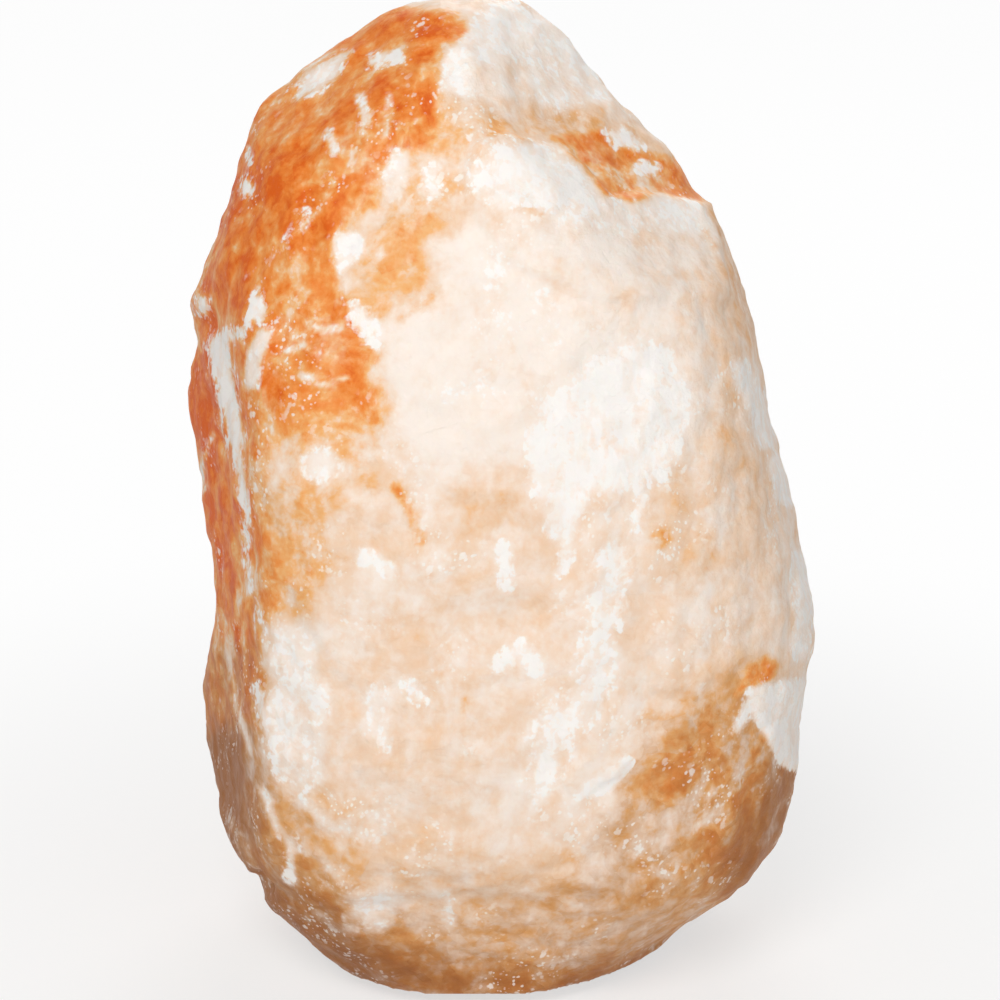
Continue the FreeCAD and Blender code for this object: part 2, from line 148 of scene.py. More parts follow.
class ShaderPlan:
    """A material in the making, with short ways to add and join its nodes."""

    def __init__(self, name: str) -> None:
        """Starts a material that holds one shader and its output.

        Args:
            name: Name of the material.
        """
        self.material = bpy.data.materials.new(name)
        self.material.use_nodes = True
        self.tree = self.material.node_tree
        self.tree.nodes.clear()
        self.shader = self.add("BsdfPrincipled")
        self.output = self.add("OutputMaterial", {"Surface": self.shader.outputs[0]})
        self.place = self.add("TexCoord").outputs["Object"]

    def add(self, kind: str, inputs: Filling | None = None, **settings: object) -> bpy.types.Node:
        """Adds a node to the material, as add_node does."""
        return add_node(self.tree, kind, inputs, **settings)

    def set(self, **values: object) -> None:
        """Fills sockets of the shader, with underscores for the spaces in their names."""
        fill(self.tree, self.shader, {name.replace("_", " "): value for name, value in values.items()})

    def maths(self, operation: str, first: object, second: object = 0.0) -> Socket:
        """Adds one step of arithmetic with two numbers or outputs, such as ADD."""
        return self.add("Math", {0: first, 1: second}, operation=operation).outputs[0]

    def times(self, first: object, second: object) -> Socket:
        """Multiplies two numbers."""
        return self.maths("MULTIPLY", first, second)

    def swing(self, pattern: object, amount: float) -> Socket:
        """Turns a pattern from 0 to 1 into a swing about zero, as wide as the amount."""
        return self.times(self.maths("SUBTRACT", pattern, 0.5), amount)

    def total(self, *terms: object) -> Socket:
        """Adds several numbers up.

        Args:
            terms: Two or more numbers or outputs.

        Returns:
            Their sum.
        """
        result = terms[0]
        for term in terms[1:]:
            result = self.maths("ADD", result, term)
        return result

    def step(self, value: object, low: float, high: float) -> Socket:
        """Adds a smooth step, from 0 up to the low value to 1 from the high one on."""
        inputs = {"Value": value, "From Min": low, "From Max": high}
        return self.add("MapRange", inputs, interpolation_type="SMOOTHSTEP").outputs["Result"]

    def spread(self, value: object, low: float, high: float) -> Socket:
        """Stretches a pattern from 0 to 1 over the range from low to high."""
        return self.add("MapRange", {"Value": value, "To Min": low, "To Max": high}).outputs["Result"]

    def blend(self, factor: object, first: object, second: object) -> Socket:
        """Mixes two colours, with the factor as the share of the second one."""
        inputs = {0: factor, MIX_FIRST: first, MIX_SECOND: second}
        return self.add("Mix", inputs, data_type="RGBA").outputs[MIX_RESULT]

    def ramp(self, value: object, stops: Sequence[tuple[float, Shade]]) -> Socket:
        """Turns a number into a colour.

        Args:
            value: Number from 0 to 1.
            stops: Places and their colours, in rising order.

        Returns:
            The colour.
        """
        node = self.add("ValToRGB", {0: value})
        elements = node.color_ramp.elements
        while len(elements) < len(stops):
            elements.new(0.5)
        for element, (where, shade) in zip(elements, stops):
            element.position = where
            element.color = linear(*shade)
        return node.outputs["Color"]

    def stretched(self, sizes: Sequence[float], turn: Sequence[float]) -> Socket:
        """Place on the piece in cells that are turned and longer one way, for patterns with a grain.

        Args:
            sizes: Size of a cell along each of its axes, in millimetres.
            turn: Turn about each axis, in degrees.

        Returns:
            The new place.
        """
        inputs = {
            "Vector": self.place,
            "Scale": [size * MM for size in sizes],
            "Rotation": [math.radians(angle) for angle in turn],
        }
        return self.add("Mapping", inputs, vector_type="TEXTURE").outputs["Vector"]

    def bent(self, scale: float, reach: float) -> Socket:
        """Place on the piece, pushed about by slow noise, for patterns without straight lines.

        Args:
            scale: Bends in a metre.
            reach: How far a place may be pushed, in metres.

        Returns:
            The new place.
        """
        layers = 3.0
        swirl = self.add("TexNoise", {"Vector": self.place, "Scale": scale, "Detail": layers})
        inputs = {0: swirl.outputs["Color"], 1: (2 * reach,) * 3, 2: self.place}
        return self.add("VectorMath", inputs, operation="MULTIPLY_ADD").outputs["Vector"]

    def clouds(
        self, scale: float, detail: float = 4.0, rough: float = 0.55, vector: object = None, bend: float = 0.0
    ) -> Socket:
        """Adds cloudy noise.

        Args:
            scale: Clouds in a metre.
            detail: Number of finer layers.
            rough: Strength of each finer layer.
            vector: Place to read, if not the plain one.
            bend: How far the clouds are bent.

        Returns:
            The noise, from 0 to 1.
        """
        return self.add("TexNoise", {
            "Vector": vector or self.place, "Scale": scale, "Detail": detail, "Roughness": rough,
            "Distortion": bend,
        }).outputs["Fac"]

    def cells(self, scale: float, vector: Socket) -> tuple[Socket, Socket]:
        """Adds a pattern of cells.

        Args:
            scale: Cells in a metre.
            vector: Place to read.

        Returns:
            The distance to the middle of the cell, and a number from 0 to 1 that is the cell's own.
        """
        node = self.add("TexVoronoi", {"Vector": vector, "Scale": scale})
        own = self.add("SeparateColor", {0: node.outputs["Color"]})
        return node.outputs["Distance"], own.outputs[0]

    def bump(self, height: object, distance: float, normal: Socket | None = None) -> Socket:
        """Adds relief.

        Args:
            height: The relief, from 0 to 1.
            distance: Full height of the relief, in metres.
            normal: Relief that this one lies on.

        Returns:
            The new normal.
        """
        inputs = {"Strength": 1.0, "Distance": distance, "Height": height}
        if normal is not None:
            inputs["Normal"] = normal
        return self.add("Bump", inputs).outputs["Normal"]


class Pattern(Enum):
    """Patterns that break up the salt, from broad clouds to small chips."""

    WIDE = "wide"
    MIDDLE = "middle"
    FINE = "fine"
    LEAN = "lean"
    UPRIGHT = "upright"
    SHARD = "shard"
    CHIP = "chip"


Amounts = tuple[tuple[Pattern, float], ...]


class SaltPlan(ShaderPlan):
    """The crystal's material in the making, with the patterns that break up the salt."""

    def __init__(self, name: str, bends: float, reach: float) -> None:
        """Starts the material and adds the patterns, each from 0 to 1.

        Args:
            name: Name of the material.
            bends: Bends in a metre of the patterns without straight lines.
            reach: How far they are bent, in metres.
        """
        super().__init__(name)
        self.bent_place = self.bent(bends, reach)
        leaning = self.stretched(sizes=(3.4, 3.4, 11.0), turn=(0.0, 32.0, 0.0))
        upright = self.stretched(sizes=(2.6, 2.6, 24.0), turn=(0.0, 4.0, 0.0))
        self.patterns = {
            Pattern.WIDE: self.clouds(scale=60.0, detail=6.0, rough=0.62, vector=self.bent_place),
            Pattern.MIDDLE: self.clouds(scale=190.0, detail=5.0, rough=0.52, vector=self.bent_place),
            Pattern.FINE: self.clouds(scale=560.0, detail=3.0, rough=0.5),
            Pattern.LEAN: self.clouds(scale=1.0, detail=3.0, vector=leaning),
            Pattern.UPRIGHT: self.clouds(scale=1.0, detail=4.0, vector=upright),
            Pattern.SHARD: self.cells(scale=110.0, vector=self.bent_place)[1],
            Pattern.CHIP: self.cells(scale=330.0, vector=self.bent_place)[1],
        }

    def swings(self, amounts: Amounts, *start: Socket) -> Socket:
        """Adds up the swings of several patterns, on top of a number to start with, if any."""
        return self.total(*start, *(self.swing(self.patterns[kind], amount) for kind, amount in amounts))


@dataclass(frozen=True)
class RockSalt:
    """Finish of the crystal: pale to deep orange salt, clouded, with white fractured patches, brown earth and
    painted shade low down, and white flecks that are partly painted glints.

    Its swings say how far each pattern moves the stain, the earthiness and painted shade, the haze and the
    crust.
    """

    name: str = "rock_salt"
    attribute: str = "salt"
    roughness: float = 0.48
    roughness_reach: float = 0.2
    gloss: float = 0.15
    refraction: float = 1.54
    scatter_depth: float = 3.0 * MM
    scatter_share: float = 0.12
    scatter_colour: tuple[float, float, float] = (1.0, 0.62, 0.42)
    pit_depth: float = 1.2 * MM
    chip_depth: float = 0.07 * MM
    grain_depth: float = 0.12 * MM
    bends: float = 38.0
    bend_reach: float = 5.0 * MM
    stained: tuple[tuple[float, Shade], ...] = (
        (0.00, (253, 240, 229)), (0.18, (248, 226, 208)), (0.34, (243, 206, 172)), (0.46, (244, 184, 120)),
        (0.60, (242, 158, 84)), (0.78, (238, 134, 54)), (1.00, (226, 100, 22)),
    )
    # Brown that earth in the salt and the painted shade along the lower edges both mix towards.
    brown_and_shade: Shade = (162, 102, 54)
    hazy: Shade = (253, 241, 231)
    crust_rim: Shade = (254, 243, 234)
    crusted: Shade = (254, 249, 244)
    # White of the flecks, which are partly painted glints.
    fleck_and_glint_white: Shade = (255, 251, 246)
    stain_swings: Amounts = (
        (Pattern.WIDE, 1.3), (Pattern.MIDDLE, 1.1), (Pattern.FINE, 0.5), (Pattern.LEAN, 0.15),
        (Pattern.SHARD, 0.14), (Pattern.CHIP, 0.08),
    )
    earth_and_shade_swings: Amounts = ((Pattern.MIDDLE, 0.4), (Pattern.WIDE, 0.4), (Pattern.CHIP, 0.1))
    haze_swings: Amounts = (
        (Pattern.WIDE, -1.6), (Pattern.MIDDLE, -0.9), (Pattern.LEAN, -0.7), (Pattern.UPRIGHT, 0.6),
        (Pattern.FINE, -0.4), (Pattern.SHARD, 0.25),
    )
    crust_swings: Amounts = (
        (Pattern.MIDDLE, -2.4), (Pattern.FINE, 3.0), (Pattern.LEAN, -1.3), (Pattern.UPRIGHT, 1.1),
        (Pattern.SHARD, 0.2), (Pattern.CHIP, 0.25),
    )

    def material(self) -> bpy.types.Material:
        """Makes the material.

        Returns:
            The material.
        """
        plan = SaltPlan(self.name, self.bends, self.bend_reach)
        source = plan.add("Attribute", attribute_name=self.attribute)
        stain, haze, earth_and_shade = plan.add("SeparateColor", {0: source.outputs["Color"]}).outputs
        colour = self.salt_colour(plan, stain, earth_and_shade)
        colour = self.clouded(plan, colour, stain, haze)
        colour = self.with_crust(plan, colour, source.outputs["Alpha"])
        colour = self.with_flecks_and_glints(plan, colour)
        wear = plan.clouds(scale=300.0, detail=5.0)
        smoothest, roughest = self.roughness - self.roughness_reach, self.roughness + self.roughness_reach
        plan.set(
            Base_Color=colour,
            Roughness=plan.spread(wear, smoothest, roughest),
            Normal=self.relief(plan),
            IOR=self.refraction,
            Specular_IOR_Level=self.gloss,
            Subsurface_Weight=self.scatter_share,
            Subsurface_Radius=self.scatter_colour,
            Subsurface_Scale=self.scatter_depth,
        )
        return plan.material

    def salt_colour(self, plan: SaltPlan, stain: Socket, earth_and_shade: Socket) -> Socket:
        """Colours the salt, from pink and white to orange, and browns it with earth and with painted shade,
        as along the lower edges and under the foot.

        Args:
            plan: The material in the making.
            stain: How stained the salt is.
            earth_and_shade: How brown it is, with earth and with painted shade.

        Returns:
            The colour.
        """
        vivid = plan.spread(plan.step(stain, low=0.2, high=0.7), low=0.22, high=1.0)
        swing = plan.times(plan.swings(self.stain_swings), vivid)
        colour = plan.ramp(plan.total(stain, swing), self.stained)
        # Browns the salt where it has earth, and darkens it with painted shade.
        brown_and_shade_share = plan.step(plan.swings(self.earth_and_shade_swings, earth_and_shade), low=0.08, high=1.0)
        return plan.blend(brown_and_shade_share, colour, linear(*self.brown_and_shade))

    def clouded(self, plan: SaltPlan, colour: Socket, stain: Socket, haze: Socket) -> Socket:
        """Lays a milky haze over the salt.

        Args:
            plan: The material in the making.
            colour: Colour so far.
            stain: How stained the salt is.
            haze: How hazy it is.

        Returns:
            The new colour.
        """
        thickest = 0.85
        drift = plan.times(plan.swings(self.haze_swings), plan.spread(stain, low=1.15, high=0.35))
        share = plan.times(plan.step(plan.total(haze, drift), low=0.1, high=1.05), thickest)
        return plan.blend(share, colour, linear(*self.hazy))

    def with_crust(self, plan: SaltPlan, colour: Socket, crust: Socket) -> Socket:
        """Lays the ragged white crust over the salt, with a thin rim round it.

        Args:
            plan: The material in the making.
            colour: Colour so far.
            crust: How crusted the salt is.

        Returns:
            The new colour.
        """
        rim_share = 0.45
        ragged = plan.times(plan.swings(self.crust_swings), plan.step(crust, low=0.02, high=0.3))
        edge = plan.total(crust, ragged)
        rim = plan.times(plan.step(edge, low=0.1, high=0.5), rim_share)
        colour = plan.blend(rim, colour, linear(*self.crust_rim))
        streaks = plan.swings(((Pattern.UPRIGHT, -1.0),), plan.patterns[Pattern.MIDDLE])
        dense = plan.spread(plan.step(streaks, low=0.60, high=0.44), low=0.35, high=0.95)
        body = plan.times(plan.step(edge, low=0.38, high=0.70), dense)
        return plan.blend(body, colour, linear(*self.crusted))

    def with_flecks_and_glints(self, plan: SaltPlan, colour: Socket) -> Socket:
        """Scatters small white flecks and splinters over the salt, in clusters; they are partly white salt
        and partly painted glints.

        Args:
            plan: The material in the making.
            colour: Colour so far.

        Returns:
            The new colour.
        """
        soft_rim, soft_choice, strongest = 0.2, 0.1, 0.65
        cluster = plan.step(plan.clouds(scale=70.0, detail=3.0, rough=0.5), low=0.48, high=0.66)
        grit = plan.swing(plan.patterns[Pattern.FINE], 1.2)
        splinters = plan.stretched(sizes=(2.2, 2.2, 5.5), turn=(0.0, 24.0, 0.0))
        fleck_and_glint = 0.0
        bent = plan.bent_place
        for scale, place, size, rarity in (
            (380.0, bent, 0.36, 0.66), (860.0, bent, 0.40, 0.50), (1.0, splinters, 0.36, 0.80),
        ):
            distance, own = plan.cells(scale, place)
            seen = plan.step(plan.total(distance, grit), size, size - soft_rim)
            chosen = plan.step(own, rarity, rarity + soft_choice)
            fleck_and_glint = plan.maths("MAXIMUM", fleck_and_glint, plan.times(seen, chosen))
        # The flecks are partly white salt and partly painted glints.
        share = plan.times(fleck_and_glint, plan.times(cluster, strongest))
        return plan.blend(share, colour, linear(*self.fleck_and_glint_white))

    def relief(self, plan: SaltPlan) -> Socket:
        """Roughens the surface with pits, chips and grains.

        Args:
            plan: The material in the making.

        Returns:
            The normal.
        """
        pit_share, cloud_share = 0.8, 0.2
        pits = plan.times(plan.clouds(scale=120.0, detail=6.0), pit_share)
        clouds = plan.times(plan.patterns[Pattern.MIDDLE], cloud_share)
        normal = plan.bump(plan.total(pits, clouds), self.pit_depth)
        chips = plan.total(plan.patterns[Pattern.SHARD], plan.patterns[Pattern.CHIP])
        normal = plan.bump(chips, self.chip_depth, normal)
        return plan.bump(plan.patterns[Pattern.FINE], self.grain_depth, normal)


class Grain(Enum):
    """How a surface is broken up: by how many clouds in a metre, with how many finer layers, how strong."""

    MOULDED = (700.0, 4.0, 0.5)
    BRUSHED = (1.0, 5.0, 0.6)
    SPECKLED = (1900.0, 3.0, 0.7)
    SMOOTH = (120.0, 2.0, 0.4)


@dataclass(frozen=True)
class PieceFinish:
    """Finish of one of the fittings."""

    name: str
    colour: Shade
    shade: Shade
    grain: Grain
    roughness: float = 0.5
    metallic: float = 0.0
    transmission: float = 0.0
    relief: float = 0.02
    roughness_reach: float = 0.12
    smoothest: float = 0.02
    brush_marks: tuple[float, float, float] = (0.4, 0.4, 11.0)

    def material(self) -> bpy.types.Material:
        """Makes the material.

        Returns:
            The material.
        """
        plan = ShaderPlan(self.name)
        brushed = self.grain is Grain.BRUSHED
        vector = plan.stretched(self.brush_marks, (0.0, 0.0, 0.0)) if brushed else None
        pattern = plan.clouds(*self.grain.value, vector)
        wear = plan.clouds(scale=160.0, detail=4.0, rough=0.6, bend=0.5)
        share = plan.total(plan.times(pattern, 0.5), plan.times(wear, 0.5))
        smooth = max(self.roughness - self.roughness_reach, self.smoothest)
        plan.set(
            Base_Color=plan.blend(plan.step(share, 0.3, 0.7), linear(*self.colour), linear(*self.shade)),
            Metallic=self.metallic,
            Roughness=plan.spread(share, smooth, self.roughness + self.roughness_reach),
            Transmission_Weight=self.transmission,
            Normal=plan.bump(pattern, self.relief * MM),
        )
        return plan.material

    def shared(self) -> bpy.types.Material:
        """Gives the material, made once for all the pieces that have it."""
        return bpy.data.materials.get(self.name) or self.material()


RUBBER = PieceFinish("foot_rubber", (34, 34, 35), (48, 47, 46), Grain.SPECKLED, 0.72, relief=0.06)
ZINC = PieceFinish("zinc_steel", (188, 190, 194), (164, 166, 170), Grain.SPECKLED, 0.34, 1.0)
GREY_NYLON = PieceFinish("grey_nylon", (168, 168, 164), (150, 150, 147), Grain.MOULDED, 0.5)
WHITE_NYLON = PieceFinish("white_nylon", (232, 231, 224), (218, 216, 208), Grain.MOULDED, 0.42)
SPRING_STEEL = PieceFinish("spring_steel", (172, 174, 178), (140, 142, 146), Grain.BRUSHED, 0.3, 1.0)
HOLDER_PLASTIC = PieceFinish("holder_plastic", (238, 235, 226), (228, 224, 214), Grain.MOULDED, 0.3)
CERAMIC = PieceFinish("holder_ceramic", (228, 224, 213), (210, 205, 193), Grain.SPECKLED, 0.75, relief=0.05)
BRASS = PieceFinish("contact_brass", (214, 176, 98), (188, 148, 76), Grain.BRUSHED, 0.3, 1.0)
SOLDER = PieceFinish("solder", (182, 184, 187), (150, 152, 156), Grain.SPECKLED, 0.42, 1.0, relief=0.05)
BLACK_GLASS = PieceFinish("black_glass", (18, 18, 22), (30, 30, 36), Grain.SMOOTH, 0.14)
CAP_METAL = PieceFinish("bulb_cap_metal", (206, 208, 212), (184, 186, 190), Grain.BRUSHED, 0.26, 1.0)
BULB_GLASS = PieceFinish("bulb_glass", (250, 253, 253), (244, 250, 250), Grain.SMOOTH, 0.03, transmission=1.0,
                         relief=0.01)
STEM_GLASS = PieceFinish("stem_glass", (240, 247, 247), (228, 240, 240), Grain.SMOOTH, 0.05, transmission=0.9,
                         relief=0.01)
WIRE_METAL = PieceFinish("wire_metal", (170, 164, 156), (136, 130, 124), Grain.BRUSHED, 0.36, 1.0)


@dataclass
class FrontView:
    """The view of the lamp's front that its markings are placed in, and its camera."""

    eye: Place = (-0.5 * MM, -700 * MM, 335 * MM)
    dip: float = 17.3
    focal: float = 2923.0
    picture: float = 1000.0
    sensor: float = 36.0

    def axes(self) -> np.ndarray:
        """Rows that point right, up and forward in the view.

        Returns:
            A 3 by 3 array.
        """
        dip = math.radians(self.dip)
        return np.array([
            (1.0, 0.0, 0.0),
            (0.0, math.sin(dip), math.cos(dip)),
            (0.0, math.cos(dip), -math.sin(dip)),
        ])

    def seen_at(self, points: np.ndarray) -> np.ndarray:
        """Where points appear in the picture.

        Args:
            points: One point in each row, in metres.

        Returns:
            Picture across and down for each, in pixels.
        """
        right, up, forward = self.axes() @ (points - np.array(self.eye)).T
        half = self.picture / 2
        return np.stack([half + self.focal * right / forward, half - self.focal * up / forward], axis=1)

    def facing(self, points: np.ndarray, normals: np.ndarray) -> np.ndarray:
        """How squarely each point of a surface faces the eye.

        Args:
            points: One point in each row.
            normals: The surface's direction at each.

        Returns:
            1 where it faces the eye, 0 edge on, and less behind.
        """
        towards = np.array(self.eye) - points
        towards /= np.linalg.norm(towards, axis=1)[:, None]
        return (towards * normals).sum(axis=1)

    def camera(self) -> bpy.types.Object:
        """Makes the camera.

        Returns:
            The camera.
        """
        data = bpy.data.cameras.new("camera")
        data.sensor_width = self.sensor
        data.lens = self.focal * self.sensor / self.picture
        camera = add_object("camera", data)
        camera.location = self.eye
        camera.rotation_euler = (math.radians(90 - self.dip), 0.0, 0.0)
        bpy.context.scene.camera = camera
        return camera


class Tone(Enum):
    """What a marking is made of: its stain, its haze, its brownness from earth and painted shade, and its
    white crust.
    """

    SNOW = (0.12, 0.75, 0.0, 1.0)
    MILK = (0.12, 0.80, 0.0, 0.62)
    PEARL = (0.15, 0.72, 0.0, 0.34)
    MIST = (0.15, 0.85, 0.0, 0.12)
    BLUSH = (0.24, 0.40, 0.0, 0.0)
    PEACH = (0.34, 0.24, 0.0, 0.0)
    APRICOT = (0.50, 0.24, 0.0, 0.0)
    ORANGE = (0.67, 0.14, 0.0, 0.0)
    EMBER = (0.88, -0.02, 0.0, 0.0)
    SAND = (0.38, 0.08, 0.42, 0.0)
    HONEY = (0.53, 0.02, 0.44, 0.0)
    # Brown with painted shade, for the lower edges where the block turns away from the light.
    UMBER_SHADE = (0.60, -0.1, 0.98, 0.0)

    @property
    def white(self) -> bool:
        """Whether it is a white crust."""
        return self.value[-1] > 0.0


SHORTEST_RUN = 1e-9  # stands in for the square of a run that is a single point
SOFTEST_WHITE = 17.0  # least width of the soft edge of a white marking, in pixels


@dataclass(frozen=True)
class Trace:
    """A patch or a line of the crystal, placed in the front view in pixels.

    It is a line if it has a width, and otherwise the patch inside its path.
    """

    path: tuple[tuple[float, float], ...]
    width: float = 0.0
    soft: float = 14.0
    strength: float = 1.0

    def share(self, seen: np.ndarray) -> np.ndarray:
        """How far each point is inside, rising evenly across the soft edge.

        Args:
            seen: Picture places of the points.

        Returns:
            0 outside to 1, or the strength, inside.
        """
        corners = np.array(self.path, dtype=float)
        closed = self.width == 0.0
        starts = corners if closed or len(corners) == 1 else corners[:-1]
        ends = np.roll(corners, -1, axis=0) if closed else (corners[1:] if len(corners) > 1 else corners)
        nearest = np.full(len(seen), np.inf)
        inside = np.zeros(len(seen), dtype=bool)
        for start, end in zip(starts, ends):
            run = end - start
            along = np.clip(((seen - start) @ run) / max(run @ run, SHORTEST_RUN), 0.0, 1.0)
            nearest = np.minimum(nearest, np.linalg.norm(seen - start - along[:, None] * run, axis=1))
            if closed and start[1] != end[1]:
                level = (seen[:, 1] - start[1]) / (end[1] - start[1])
                crosses = (start[1] > seen[:, 1]) != (end[1] > seen[:, 1])
                inside ^= crosses & (seen[:, 0] < start[0] + level * run[0])
        reach = np.where(inside, -nearest, nearest) if closed else nearest - self.width / 2
        return self.strength * np.clip(0.5 - reach / self.soft, 0.0, 1.0)


@dataclass(frozen=True)
class Marking:
    """A patch or a vein with a tone of its own."""

    tone: Tone
    trace: Trace


@dataclass(frozen=True)
class Form:
    """A ledge, a dent or a swelling that stands above the smooth surface, or below it if negative."""

    height: float
    trace: Trace


def mark(tone: Tone, path: tuple[tuple[float, float], ...], width: float = 0.0, soft: float = 14.0,
         strength: float = 1.0, crisp: bool = False) -> Marking:
    """Writes a marking in one line.

    Args:
        tone: What it is made of.
        path: Its corners in the front view.
        width: Its width, if it is a vein.
        soft: Width of its soft edge.
        strength: How strong it is.
        crisp: Whether a white one may have an edge narrower than usual.

    Returns:
        The marking.
    """
    if tone.white and not crisp:
        soft = max(soft, SOFTEST_WHITE)
    return Marking(tone, Trace(path, width, soft, strength))


